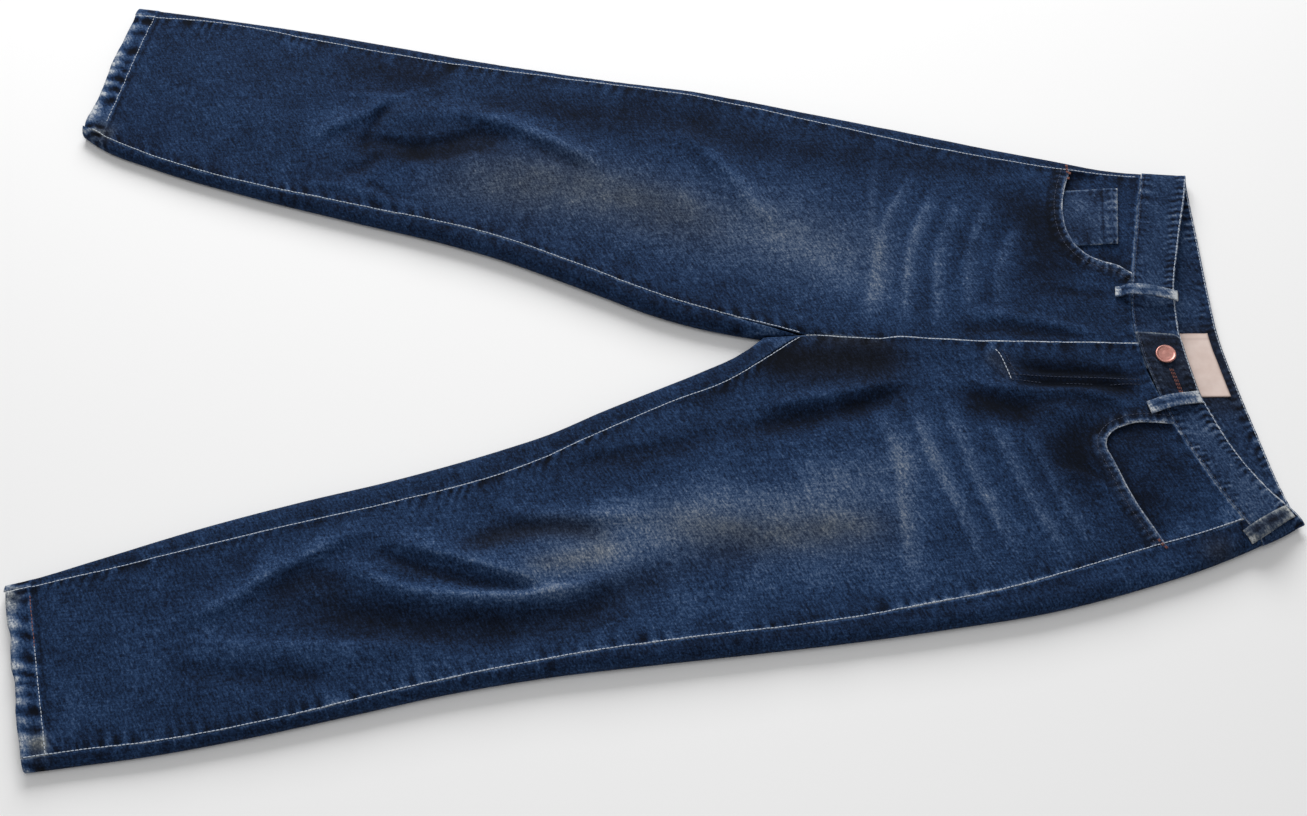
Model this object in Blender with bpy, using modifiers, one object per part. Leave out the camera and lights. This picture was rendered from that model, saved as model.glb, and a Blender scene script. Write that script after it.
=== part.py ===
"""A pair of blue denim jeans laid out flat, front upwards, with the waist to the right.

Run with: blender --background --python part.py

+X runs from the hems to the waist, +Y to the wearer's right side and +Z out of the front.
The origin is under the middle of the garment, on the surface it lies on. Right and left are
the wearer's. Tables are in millimetres, from a mark on that surface: MIDDLE is the middle of
the garment from there.
"""

import bmesh
import bpy
import numpy as np

MM = 0.001
MIDDLE = np.array((3.2, -0.1, 0.0))

# Cloth, in millimetres
CLOTH_WALL = 1.5        # denim panel
BAND_WALL = 2.6         # waistband: two layers with the seam allowance between them
PATCH_WALL = 1.2        # pockets, facings and the loops underneath
LOOP_WALL = 1.5         # belt loop, a folded strip
LABEL_WALL = 0.8
SEAM_GAP = 0.3          # between neighbouring pieces
WAIST_GAP = 0.6         # between the panels and the waistband

# Rounded edges and the laid tubes
EDGE_REACH = 11.0       # how far in from the outline an edge still curves
EDGE_FLAT = 1.9         # half the upright part of an edge
CROTCH_X = 95.0         # the fork between the legs
CROSS_X = 128.0         # where the four leg seams meet
TIP_START_X = 35.0      # the back panels begin to reach forward to the cross
TIP_GAP = 0.045         # more room beside their tips, for each millimetre of reach
VALLEY_FADE = 60.0      # the dip between the legs runs out this far from the fork
SEAT_RAISE = 1.5        # the seat lies on the back pockets
SEAT_RAISE_X = (180.0, 222.0)
YOKE_DEPTH_MIDDLE = 62.0
YOKE_DEPTH_SIDE = 18.0
YOKE_REACH = 190.0      # from the middle of the back to where the yoke is shallow

# Fly: the left front laps over the right front
FLY_LAP = 4.0
FLY_LAP_X = (188.0, 214.0)
FLY_LIFT_X = (150.0, 186.0)
FLY_LIFT_REACH = (6.0, 24.0)

# Waistband
BAND_WIDTH = 40.0
BAND_PROUD = 0.7        # it stands out from the panels by this much
BACK_BAND_Z = 1.8       # the back of the band lies on its belt loops
BAND_OVERLAP_Y = 6.0    # the button end, on the left front
BAND_UNDERLAP_Y = -28.0  # the other end, under the button end
BAND_LIFT_Y = (-58.0, -32.0)
BAND_DROOP = (2.5, 5.0)  # the free edge of the front sinks at the right and at the left
BAND_DROOP_Y = (-30.0, 120.0)

# Button: rows of radius and height give its profile
BUTTON_X, BUTTON_Y = 437.0, -17.0
BUTTON_TILT = 1.5       # degrees, towards the hems
BUTTON_PROFILE = (
    (0.0, 0.0), (4.2, 0.0), (4.2, 1.3), (8.0, 1.5), (8.8, 2.1), (8.7, 3.0), (7.9, 3.5),
    (7.0, 3.1), (5.6, 2.9), (3.0, 3.1), (0.0, 3.2),
)
BUTTON_SEGMENTS = 32
BUTTON_CLEARANCE = 0.8

# Grid sizes
FRONT_COLUMNS, FRONT_ROWS = 15, 42
STRIP_COLUMNS, ARC_COLUMNS, BOTTOM_COLUMNS, INNER_COLUMNS = 4, 3, 6, 4
LEG_ROWS, SEAT_ROWS, YOKE_ROWS = 27, 11, 3
BAND_TOP_COLUMNS, BAND_ARC_COLUMNS, BAND_BACK_COLUMNS, BAND_ROWS = 17, 6, 18, 3
LOOP_COLUMNS, LOOP_ROWS = 2, 8
FACING_COLUMNS, FACING_ROWS = 16, 6

# Outline and seams in plan: rows of x, y
RIGHT_OUTER = (
    (-495, 383.5), (-435, 373), (-337, 354.5), (-241, 333), (-145, 311.5), (-50, 293.5),
    (44, 278), (136, 256), (228, 233), (318, 210), (363, 199.5), (408, 189),
    (453, 184.5), (490, 184.5),
)
RIGHT_OUTSEAM = (
    (-495, 372), (-398, 360), (-321, 340), (-223, 317), (-94, 293), (37, 271),
    (140, 244), (250, 213), (344, 192), (402, 182), (445, 178),
)
RIGHT_INSEAM = (
    (-529, 240), (-504, 225), (-474, 210), (-401, 182), (-306, 156), (-212, 132),
    (-154, 116), (-66, 80), (1, 50), (46, 34), (90, 20), (128, 8.5),
)
RIGHT_INNER = (
    (-531, 234), (-511, 219), (-462, 196.5), (-367, 163.5), (-274, 136), (-182, 109.5),
    (-137, 94), (-92, 75), (-47, 55), (-3, 35.5), (41, 21), (74, 13.5), (95, 9.5),
)
LEFT_INNER = (
    (-526, -226), (-505, -220.5), (-451, -202), (-373, -175), (-293, -151), (-211, -129),
    (-129, -102.5), (-87, -86.5), (-45, -65.5), (-3, -46), (40, -26), (74, -8), (95, 8.5),
)
LEFT_INSEAM = (
    (-526, -233), (-504, -228), (-475, -221), (-410, -204), (-313, -178), (-198, -149),
    (-139, -132), (-95, -114), (-51, -91), (11, -60), (67, -35), (94, -17), (128, 7.5),
)
LEFT_OUTSEAM = (
    (-487, -375), (-441, -368), (-390, -362), (-340, -353), (-281, -340), (-215, -323),
    (-104, -298), (8, -279), (85, -269), (160, -258), (222, -246), (284, -233),
    (348, -214), (412, -194), (445, -184), (488, -169),
)
LEFT_OUTER = (
    (-489, -384), (-460, -380), (-391, -370), (-315, -355), (-238, -337), (-161, -319),
    (-82, -305), (-3, -295), (77, -285.5), (157, -275.5), (238, -263.5), (320, -249),
    (403, -226), (447, -211), (491, -192.5), (521, -178), (540, -168.5),
)
CENTRE_FRONT = (
    (95, 9.5), (128, 8), (170, 3), (231, -2), (276, -5), (369, -7), (420, -8), (460, -8),
)

# Waist lines in plan: rows of y, x
FRONT_WAIST_SEAM = (
    (-196, 502), (-179, 490.5), (-152, 473), (-114, 453), (-75, 435), (-50, 427),
    (-34, 422), (-4, 416), (31, 415), (77, 422), (119, 430), (155, 437), (189, 445),
)
FRONT_WAIST_TOP = (
    (-172, 537), (-161, 529), (-142, 512), (-114, 492), (-75, 473), (-41, 461),
    (-20, 457), (4, 454), (31, 454), (65, 457), (92, 463), (126, 471), (157, 479), (189, 485),
)
BACK_WAIST_TOP = (
    (-192, 540), (-172, 534), (-133, 522), (-85, 511), (-34, 500), (14, 491.5), (57, 489),
    (119, 487), (162, 485.5), (189, 485),
)

# Height of the tube at its edges, and of the middle of the front above that: rows of x, mm
EDGE_HEIGHT = (
    (-530, 11), (-490, 12), (-420, 13), (-250, 15), (0, 17), (95, 16), (250, 16),
    (400, 15.5), (460, 15), (540, 15),
)
CROWN_HEIGHT = (
    (-530, 0.5), (-470, 2), (-300, 4), (-100, 5), (95, 5), (250, 6), (400, 6), (540, 5),
)

# Folds of the fronts: x, y of start, middle and end, half width, height
FOLDS = {
    "right_ankle_ridge": (-237, 267, -280, 232, -323, 213, 12, 5),
    "right_shin_hollow": (-265, 232, -222, 215, -178, 202, 13, -4),
    "right_small_ridge": (-297, 273, -255, 275, -212, 272, 8, 3),
    "right_knee_ridge": (-235, 250, -130, 232, -46, 183, 13, 7),
    "right_knee_hollow": (-233, 207, -175, 213, -128, 221, 14, -6),
    "right_thigh_ridge": (12, 233, 70, 177, 114, 113, 14, 5),
    "left_ankle_ridge": (-363, -252, -302, -219, -240, -188, 12, 5),
    "left_upper_ridge": (-207, -193, -90, -231, 37, -175, 12, 7),
    "left_lower_ridge": (-244, -204, -164, -245, -64, -236, 11, 6),
    "left_eye_hollow": (-245, -195, -165, -225, -84, -239, 9, -2),
    "left_knee_hollow": (-280, -227, -163, -268, -21, -245, 15, -3),
    "left_calf_ridge": (-360, -281, -230, -284, -106, -284, 11, 4),
    "left_calf_hollow": (-358, -301, -315, -306, -273, -309, 10, -2),
    "left_crotch_hollow": (-12, -101, 95, -76, 211, -48, 12, -3),
    "left_crotch_ridge": (31, -70, 95, -57, 178, -48, 10, 4),
    "left_fly_hollow": (310, -46, 350, -52, 392, -62, 10, -4),
    "left_fly_ridge": (301, -59, 333, -71, 366, -83, 11, 4),
}
FOLD_STEPS = 16

# Pocket mouths cut in the fronts: rows of x, y from beyond the side seam to beyond the waist,
# the outer corner of what is cut away, and the depth of the facing under the front
MOUTHS = {
    "right": (
        (378, 200), (377, 184), (371, 165), (367, 148), (366, 132), (368, 115), (374, 100),
        (383, 90), (396, 83), (409, 78), (417, 72), (430, 66),
    ),
    "left": (
        (423, -206), (415, -190), (407, -175), (399, -160), (392, -144), (386, -127),
        (381, -113), (378, -105), (379, -97), (385, -89), (395, -84), (407, -81),
        (420, -81), (434, -82), (450, -82),
    ),
}
MOUTH_CORNERS = {"right": (470, 215), "left": (520, -215)}
CUTTER_FROM, CUTTER_HEIGHT = -20.0, 80.0
FACING_DEPTHS = {"right": 4.2, "left": 2.7}
FACING_UNDER = 14.0     # the facing runs on under the front
FACING_INSET = 1.0      # its edge inside the side and waist seams
FACING_RISE = (0.0, 40.0)  # it comes up to the level of the front over this distance
FACING_START = 22.0     # length of its ends along the side seam and the waist seam

# Coin pocket, label and back pockets: x from, x to, y from, y to
COIN_POCKET = (360, 418, 102, 163)
COIN_POCKET_SLANT = 7.0
LABEL_Y = (-47, 17)
LABEL_FROM_EDGE = (9.0, 35.0)
BACK_POCKETS = {"right": (245, 385, 50, 180), "left": (245, 385, -198, -68)}
BACK_POCKET_TURNS = {"right": 3.0, "left": -9.0}    # degrees, seen from above
BACK_POCKET_POINT = 18.0    # the middle of its lower edge hangs down this far

# Belt loops on the front: x, y at the panel end and at the free edge, width, bow
FRONT_LOOPS = {
    "belt_loop_front_right": (402, 49, 456, 44, 10.5, 4.0),
    "belt_loop_front_left": (417, -68, 463, -55, 12.0, 3.0),
    "belt_loop_side_left": (484, -186, 524, -161, 12.0, 4.0),
}
# Belt loops under the back: y, width
BACK_LOOPS = {"belt_loop_side_right": (160, 11.0), "belt_loop_back": (-8, 11.0)}
LOOP_OVERHANG = 8.0

# Colours, linear
DENIM = (0.028, 0.066, 0.150)
DENIM_DARK = (0.018, 0.040, 0.098)
DENIM_WORN = (0.105, 0.170, 0.260)
COPPER = (0.62, 0.27, 0.20)
LABEL_CLOTH = (0.62, 0.52, 0.47)


def smooth_step(value, low, high):
    """0 below low, 1 above high and an S-curve between."""
    t = np.clip((value - low) / (high - low), 0.0, 1.0)
    return t * t * (3.0 - 2.0 * t)


def smooth_curve(rows):
    """A function that follows the smooth curve through the rows, level past its ends."""
    table = np.array(sorted(rows), float)
    knots, values = table[:, 0], table[:, 1]
    slopes = np.gradient(values, knots)

    def at(place):
        place = np.clip(place, knots[0], knots[-1])
        i = np.clip(np.searchsorted(knots, place) - 1, 0, len(knots) - 2)
        width = knots[i + 1] - knots[i]
        t = (place - knots[i]) / width
        start = (1 + 2 * t) * (1 - t) ** 2 * values[i] + t * (1 - t) ** 2 * width * slopes[i]
        end = t * t * (3 - 2 * t) * values[i + 1] + t * t * (t - 1) * width * slopes[i + 1]
        return start + end

    return at


centre_front = smooth_curve(CENTRE_FRONT)
front_waist_seam = smooth_curve(FRONT_WAIST_SEAM)
front_waist_top = smooth_curve(FRONT_WAIST_TOP)
back_waist_top = smooth_curve(BACK_WAIST_TOP)
edge_height = smooth_curve(EDGE_HEIGHT)
crown_height = smooth_curve(CROWN_HEIGHT)


def back_waist_seam(y):
    """Where the yoke meets the waistband, underneath."""
    return back_waist_top(y) - BAND_WIDTH


def yoke_seam(y):
    """The V of the yoke: shallow at the sides and deep at the middle of the back."""
    from_middle = abs(y - CENTRE_FRONT[-1][1])
    rise = (YOKE_DEPTH_MIDDLE - YOKE_DEPTH_SIDE) * smooth_step(from_middle, 0.0, YOKE_REACH)
    return back_waist_seam(y) - YOKE_DEPTH_MIDDLE + rise


def spine_points(fold):
    """Points along a fold, on the curve that passes its start, middle and end."""
    t = np.linspace(0.0, 1.0, FOLD_STEPS)[:, None]
    start, middle, end = (np.array(fold[i:i + 2], float) for i in (0, 2, 4))
    control = 2 * middle - 0.5 * (start + end)
    return (1 - t) ** 2 * start + 2 * t * (1 - t) * control + t * t * end


SPINES = {name: spine_points(fold) for name, fold in FOLDS.items()}


def fold_height(x, y):
    """How far the folds raise or sink the cloth of the fronts."""
    total = 0.0
    for name, fold in FOLDS.items():
        half_width, height = fold[6:]
        away = np.hypot(SPINES[name][:, 0] - x, SPINES[name][:, 1] - y)
        nearest = int(np.argmin(away))
        along = nearest / (FOLD_STEPS - 1)
        fade = smooth_step(min(along, 1 - along), -0.12, 0.3)
        total += height * fade * np.exp(-((away[nearest] / half_width) ** 2))
    return total


class Half:
    """One half of the garment: its lines in plan and the heights of its cloth."""

    def __init__(self, side, sign, outer, outseam, inseam, inner):
        self.side = side
        self.sign = sign
        self.outer = smooth_curve(outer)
        self.outseam = smooth_curve(outseam)
        self.inseam = smooth_curve(inseam)
        self.inner = smooth_curve(inner)
        self.hem_outer, self.hem_inner = outseam[0][0], inseam[0][0]

    def inner_limit(self, x):
        """The inner edge of the leg, or the middle of the garment above the fork."""
        return self.inner(x) if x < CROTCH_X else centre_front(x)

    def rise(self, x, y):
        """0 at the rounded edges and 1 clear of them."""
        from_outer = np.clip(self.sign * (self.outer(x) - y) / EDGE_REACH, 0.0, 1.0)
        from_inner = np.clip(self.sign * (y - self.inner_limit(x)) / EDGE_REACH, 0.0, 1.0)
        valley = 1.0 - smooth_step(x, CROTCH_X, CROTCH_X + VALLEY_FADE)
        outer_rise = np.sqrt(1.0 - (1.0 - from_outer) ** 2)
        inner_rise = 1.0 - valley * (1.0 - np.sqrt(1.0 - (1.0 - from_inner) ** 2))
        return outer_rise * inner_rise

    def crown(self, x, y):
        """The gentle swell of the front between its edges."""
        width = abs(self.outer(x) - self.inner_limit(x))
        across = np.clip(self.sign * (self.outer(x) - y) / width, 0.0, 1.0)
        valley = 1.0 - smooth_step(x, CROTCH_X - VALLEY_FADE, CROTCH_X + VALLEY_FADE)
        over_leg, over_seat = np.sin(np.pi * across), np.sin(0.5 * np.pi * across)
        return crown_height(x) * (valley * over_leg + (1.0 - valley) * over_seat)

    def top(self, x, y):
        """Height of the outer side of the cloth on top."""
        side = edge_height(x) / 2 + EDGE_FLAT
        full = edge_height(x) + self.crown(x, y) + fold_height(x, y)
        return side + (full - side) * self.rise(x, y)

    def bottom(self, x, y):
        """Height of the outer side of the cloth underneath."""
        side, rise = edge_height(x) / 2 - EDGE_FLAT, self.rise(x, y)
        return side * (1.0 - rise) + SEAT_RAISE * smooth_step(x, *SEAT_RAISE_X) * rise

    def inner_seam(self, x):
        """The inseam up to the cross of the seams, then the centre front, which laps."""
        if x < CROSS_X:
            return self.inseam(x)
        return centre_front(x) - self.sign * FLY_LAP * smooth_step(x, *FLY_LAP_X)

    def fly_lift(self, x, y):
        """The left front is raised where it laps over the right front."""
        if self.sign > 0:
            return 0.0
        near = 1.0 - smooth_step(centre_front(x) - y, *FLY_LIFT_REACH)
        return (CLOTH_WALL + SEAM_GAP) * near * smooth_step(x, *FLY_LIFT_X)


RIGHT = Half("right", 1, RIGHT_OUTER, RIGHT_OUTSEAM, RIGHT_INSEAM, RIGHT_INNER)
LEFT = Half("left", -1, LEFT_OUTER, LEFT_OUTSEAM, LEFT_INSEAM, LEFT_INNER)
HALVES = (RIGHT, LEFT)


def hem_line(half):
    """x of the hem from y."""
    start, end = half.outer(half.hem_outer), half.inner(half.hem_inner)

    def x_at(y):
        share = np.clip((start - y) / (start - end), 0.0, 1.0)
        return half.hem_outer + (half.hem_inner - half.hem_outer) * share
    return x_at


def crossing(x_from_y, y_from_x):
    """Where a line across the garment meets a line along it."""
    x = CROTCH_X
    for _ in range(8):
        x = x_from_y(y_from_x(x))
    return x, y_from_x(x)


def half_at(y):
    """The half of the seat at y."""
    return RIGHT if y > CENTRE_FRONT[-1][1] else LEFT


def moved_out(height, x, y, distance):
    """The point at x, y on a surface, moved out square to it by distance."""
    step = 0.5
    slope_x = (height(x + step, y) - height(x - step, y)) / (2 * step)
    slope_y = (height(x, y + step) - height(x, y - step)) / (2 * step)
    normal = np.array((-slope_x, -slope_y, 1.0))
    return np.array((x, y, height(x, y))) + normal * distance / np.linalg.norm(normal)


def material(name, colour, roughness, metallic=0.0):
    made = bpy.data.materials.new(name)
    made.use_nodes = True
    shader = made.node_tree.nodes["Principled BSDF"]
    shader.inputs["Base Color"].default_value = (*colour, 1.0)
    shader.inputs["Roughness"].default_value = roughness
    shader.inputs["Metallic"].default_value = metallic
    return made


def new_object(name, mesh, colour, collection, roughness=0.9, metallic=0.0):
    """An object with a material of its own."""
    made = bpy.data.objects.new(name, mesh)
    mesh.materials.append(material(name, colour, roughness, metallic))
    collection.objects.link(made)
    return made


def sheet(name, rows, flip, wall, colour, collection):
    """A surface through rows of points in millimetres, thickened inwards by wall.

    Neighbouring rows are joined over the columns that both have.
    """
    bm = bmesh.new()
    grid = [[bm.verts.new((np.array(point) - MIDDLE) * MM) for point in row] for row in rows]
    for first, second in zip(grid, grid[1:]):
        for j in range(min(len(first), len(second)) - 1):
            corners = [first[j], second[j], second[j + 1], first[j + 1]]
            bm.faces.new(corners[::-1] if flip else corners)
    mesh = bpy.data.meshes.new(name)
    bm.to_mesh(mesh)
    bm.free()
    mesh.shade_smooth()
    made = new_object(name, mesh, colour, collection)
    thicken = made.modifiers.new("wall", "SOLIDIFY")
    thicken.thickness = wall * MM
    thicken.offset = -1.0
    thicken.use_even_offset = True
    return made


def eased(count):
    """Shares from 0 to 1, closer together at both ends."""
    return [0.5 * (1 - np.cos(np.pi * j / count)) for j in range(count + 1)]


def front_panel(half, collection):
    """A front from the hem to the waist seam, between its outseam and its inner seam."""
    def across(share):
        def y_at(x):
            start = half.outseam(x) - half.sign * SEAM_GAP / 2
            end = half.inner_seam(x) + half.sign * SEAM_GAP / 2
            return start + (end - start) * share
        return y_at

    columns = []
    for share in eased(FRONT_COLUMNS):
        y_at = across(share)
        hem, _ = crossing(hem_line(half), y_at)
        waist, _ = crossing(lambda y: front_waist_seam(y) - WAIST_GAP, y_at)
        columns.append((hem, waist, y_at))
    rows = []
    for i in range(FRONT_ROWS + 1):
        row = []
        for hem, waist, y_at in columns:
            x = hem + (waist - hem) * i / FRONT_ROWS
            y = y_at(x)
            row.append((x, y, half.top(x, y) + half.fly_lift(x, y)))
        rows.append(row)
    return sheet(f"front_{half.side}", rows, half.sign > 0, CLOTH_WALL, DENIM, collection)


def quarter_turn(count):
    """Distances in from an edge, as shares of its reach, at even turns round it."""
    return [1 - np.cos(0.5 * np.pi * j / count) for j in range(count + 1)]


def back_section(half, x_on_top, x_below, closed):
    """One section of the cloth of the back: from the outseam out and round the outer edge,
    along the underside and, when closed, round the inner edge up to the inseam.

    x_on_top and x_below give x from y for the two sides of the garment.
    """
    sign = half.sign
    points = []
    for share in reversed(eased(STRIP_COLUMNS)):
        def y_at(x):
            seam = half.outseam(x) + sign * SEAM_GAP / 2
            return half.outer(x) + (seam - half.outer(x)) * share
        x, y = crossing(x_on_top, y_at)
        points.append((x, y, half.top(x, y)))
    for share in quarter_turn(ARC_COLUMNS):
        x, y = crossing(x_below, lambda x: half.outer(x) - sign * EDGE_REACH * share)
        points.append((x, y, half.bottom(x, y)))
    for j in range(1, BOTTOM_COLUMNS):
        def y_at(x):
            start = half.outer(x) - sign * EDGE_REACH
            end = half.inner_limit(x) + sign * EDGE_REACH
            return start + (end - start) * j / BOTTOM_COLUMNS
        x, y = crossing(x_below, y_at)
        points.append((x, y, half.bottom(x, y)))
    for share in reversed(quarter_turn(ARC_COLUMNS)):
        x, y = crossing(x_below, lambda x: half.inner_limit(x) + sign * (
            SEAM_GAP / 2 + EDGE_REACH * share))
        points.append((x, y, half.bottom(x, y)))
    if closed:
        inner = half.inner_limit(x) + sign * SEAM_GAP / 2
        reach = (CROSS_X - CROTCH_X) * smooth_step(x, TIP_START_X, CROTCH_X)
        seam = half.inseam(x + reach) - sign * (SEAM_GAP / 2 + TIP_GAP * reach)
        if x >= CROTCH_X:
            seam = centre_front(x + reach) + sign * SEAM_GAP / 2
        for share in eased(INNER_COLUMNS):
            place, y = x + reach * share, inner + (seam - inner) * share
            points.append((place, y, half.top(place, y)))
    return points


def back_panel(half, collection):
    """A back: round the leg below the fork and under the seat up to the yoke."""
    hem = hem_line(half)
    yoke_edge, _ = crossing(yoke_seam, half.outer)
    rows = []
    for i in range(LEG_ROWS + 1):
        def below(y):
            return hem(y) + (CROTCH_X - hem(y)) * i / LEG_ROWS
        rows.append(back_section(half, below, below, closed=True))
    for i in range(1, SEAT_ROWS + 1):
        part = i / SEAT_ROWS
        side_x = CROTCH_X + (yoke_edge - SEAM_GAP - CROTCH_X) * part

        def below(y):
            return CROTCH_X + (yoke_seam(y) - SEAM_GAP - CROTCH_X) * part
        rows.append(back_section(half, lambda y: side_x, below, closed=False))
    return sheet(f"back_{half.side}", rows, half.sign < 0, CLOTH_WALL, DENIM_DARK, collection)


def back_yoke(half, collection):
    """The piece between a back and the waistband. Its end shows on top at the side."""
    yoke_edge, _ = crossing(yoke_seam, half.outer)
    rows = []
    for i in range(YOKE_ROWS + 1):
        part = i / YOKE_ROWS

        def below(y):
            return yoke_seam(y) + (back_waist_seam(y) - WAIST_GAP - yoke_seam(y)) * part

        def on_top(y):
            return yoke_edge + (front_waist_seam(y) - WAIST_GAP - yoke_edge) * part
        rows.append(back_section(half, on_top, below, closed=False))
    return sheet(f"yoke_{half.side}", rows, half.sign < 0, CLOTH_WALL, DENIM_DARK, collection)


def band_top(x, y):
    """Height of the outer side of the waistband on top, and how far its button end is raised."""
    half = half_at(y)
    right, left = BAND_DROOP
    droop = right + (left - right) * smooth_step(-y, *BAND_DROOP_Y)
    sunk = droop * smooth_step(x, front_waist_seam(y), front_waist_top(y))
    lift = (BAND_WALL + 2 * SEAM_GAP) * smooth_step(y, *BAND_LIFT_Y) if y <= BAND_OVERLAP_Y else 0.0
    return half.top(x, y) + BAND_PROUD - sunk * half.rise(x, y), lift


def waistband(collection):
    """One strip: from the end under the button round the right side, the back and the left
    side to the button end."""
    def ring(width_share):
        def x_on_top(y):
            return front_waist_seam(y) + (
                front_waist_top(y) - front_waist_seam(y)) * width_share

        def on_top(y, raised=False):
            height, lift = band_top(x_on_top(y), y)
            return x_on_top(y), y, height + (lift if raised else 0.0)

        def below(y):
            return back_waist_seam(y) + BAND_WIDTH * width_share, y, BACK_BAND_Z

        def edge_of(half):
            _, y = crossing(x_on_top, half.outer)
            return y + half.sign * BAND_PROUD

        def round_edge(half, order):
            """Points round one side, between the top and the underside."""
            edge = edge_of(half)
            high = on_top(edge - half.sign * EDGE_REACH)[2]
            for j in order:
                turn = np.pi * j / BAND_ARC_COLUMNS
                y = edge - half.sign * EDGE_REACH * (1 - np.sin(turn))
                x = (below if 2 * j > BAND_ARC_COLUMNS else on_top)(y)[0]
                if 2 * j == BAND_ARC_COLUMNS:
                    x = 0.5 * (below(y)[0] + on_top(y)[0])
                yield x, y, BACK_BAND_Z + (high - BACK_BAND_Z) * (0.5 + 0.5 * np.cos(turn))

        right_end = edge_of(RIGHT) - EDGE_REACH
        left_end = edge_of(LEFT) + EDGE_REACH
        turns = range(1, BAND_ARC_COLUMNS)
        points = [on_top(y) for y in np.linspace(
            BAND_UNDERLAP_Y, right_end, BAND_TOP_COLUMNS)]
        points += round_edge(RIGHT, turns)
        points += [below(y) for y in np.linspace(right_end, left_end, BAND_BACK_COLUMNS)]
        points += round_edge(LEFT, reversed(turns))
        points += [on_top(y, raised=True) for y in np.linspace(
            left_end, BAND_OVERLAP_Y, BAND_TOP_COLUMNS)]
        return points

    rows = [ring(i / BAND_ROWS) for i in range(BAND_ROWS + 1)]
    return sheet("waistband", rows, False, BAND_WALL, DENIM, collection)


def mouth_line(side, beyond, steps):
    """Points along a pocket mouth, moved by beyond to under the front."""
    line = np.array(MOUTHS[side], float)
    lengths = np.concatenate([[0], np.cumsum(np.hypot(*np.diff(line, axis=0).T))])
    x_along = smooth_curve(list(zip(lengths, line[:, 0])))
    y_along = smooth_curve(list(zip(lengths, line[:, 1])))
    places = np.linspace(0, lengths[-1], steps)
    curve = np.array([(x_along(place), y_along(place)) for place in places])
    tangent = np.gradient(curve, axis=0)
    tangent /= np.hypot(*tangent.T)[:, None]
    inward = np.stack([tangent[:, 1], -tangent[:, 0]], axis=1)
    corner = np.array(MOUTH_CORNERS[side])
    if np.dot(inward[steps // 2], corner - curve[steps // 2]) > 0:
        inward = -inward
    return curve + inward * beyond, inward


MOUTH_STEPS = 28
MOUTH_LINES = {side: mouth_line(side, 0.0, MOUTH_STEPS) for side in MOUTHS}


def outside_mouth(side, x, y):
    """Distance from a pocket mouth towards the corner; below 0 under the front."""
    curve, inward = MOUTH_LINES[side]
    away = np.array((x, y)) - curve
    nearest = int(np.argmin(np.hypot(*away.T)))
    distance = np.hypot(*away[nearest])
    return -distance if np.dot(away[nearest], inward[nearest]) > 0 else distance


def facing_depth(side, x, y):
    """How far a facing lies below the outer side of the front."""
    return FACING_DEPTHS[side] * (1 - smooth_step(outside_mouth(side, x, y), *FACING_RISE))


def resampled(points, count):
    """The polyline through the points at count even steps."""
    line = np.array(points)
    lengths = np.concatenate([[0], np.cumsum(np.hypot(*np.diff(line, axis=0).T))])
    places = np.linspace(0, lengths[-1], count + 1)
    return np.stack([np.interp(places, lengths, line[:, i]) for i in (0, 1)], axis=1)


def pocket_facing(half, collection):
    """The cloth that shows in a pocket mouth. It runs from under the front to the side seam
    and the waist seam."""
    side, sign = half.side, half.sign

    def side_y(x):
        return half.outseam(x) - sign * FACING_INSET

    def waist_x(y):
        return front_waist_seam(y) - FACING_INSET

    under = [(x, y) for x, y in mouth_line(side, FACING_UNDER, 8 * FACING_COLUMNS)[0]
             if sign * (side_y(x) - y) > 0 and x < waist_x(y)]
    inner = resampled(under, FACING_COLUMNS)
    corner = waist_x(MOUTH_CORNERS[side][1])
    for _ in range(5):
        corner = waist_x(side_y(corner))
    along_side = [(x, side_y(x)) for x in np.linspace(inner[0][0] + FACING_START, corner, 9)]
    along_waist = [(waist_x(y), y) for y in np.linspace(
        side_y(corner), inner[-1][1] + sign * FACING_START, 9)[1:]]
    rim = resampled(along_side + along_waist, FACING_COLUMNS)
    rows = []
    for i in range(FACING_ROWS + 1):
        row = []
        for x, y in inner + (rim - inner) * i / FACING_ROWS:
            row.append(moved_out(half.top, x, y, -facing_depth(side, x, y)))
        rows.append(row)
    name = f"pocket_facing_{side}"
    return sheet(name, rows, sign > 0, PATCH_WALL, DENIM_DARK, collection)


def patch(name, box, wall, place, colour, collection, columns=6, rows=6):
    """A patch over a box in plan: place turns shares of its width and length to a point."""
    x_low, x_high, y_low, y_high = box
    made = [[place(x_low + (x_high - x_low) * i / rows, y_low + (y_high - y_low) * j / columns)
             for j in range(columns + 1)] for i in range(rows + 1)]
    return sheet(name, made, False, wall, colour, collection)


def coin_pocket(collection):
    """The small pocket on the right facing. Its lower part lies under the front."""
    x_low, x_high, y_low, y_high = COIN_POCKET

    def place(x, y):
        x -= COIN_POCKET_SLANT * (y_high - y) / (y_high - y_low) * (x - x_low) / (x_high - x_low)
        proud = 2 * SEAM_GAP + PATCH_WALL - facing_depth("right", x, y)
        return moved_out(RIGHT.top, x, y, proud)

    return patch("coin_pocket", COIN_POCKET, PATCH_WALL, place, DENIM, collection, 7, 8)


def waist_label(collection):
    """The bare cloth label on the inner side of the back of the waistband."""
    def place(share, y):
        near, far = LABEL_FROM_EDGE
        height = BACK_BAND_Z + BAND_WALL + SEAM_GAP + LABEL_WALL
        return back_waist_top(y) - far + (far - near) * share, y, height

    box = (0.0, 1.0, *LABEL_Y)
    return patch("waist_label", box, LABEL_WALL, place, LABEL_CLOTH, collection, 6, 2)


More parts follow.
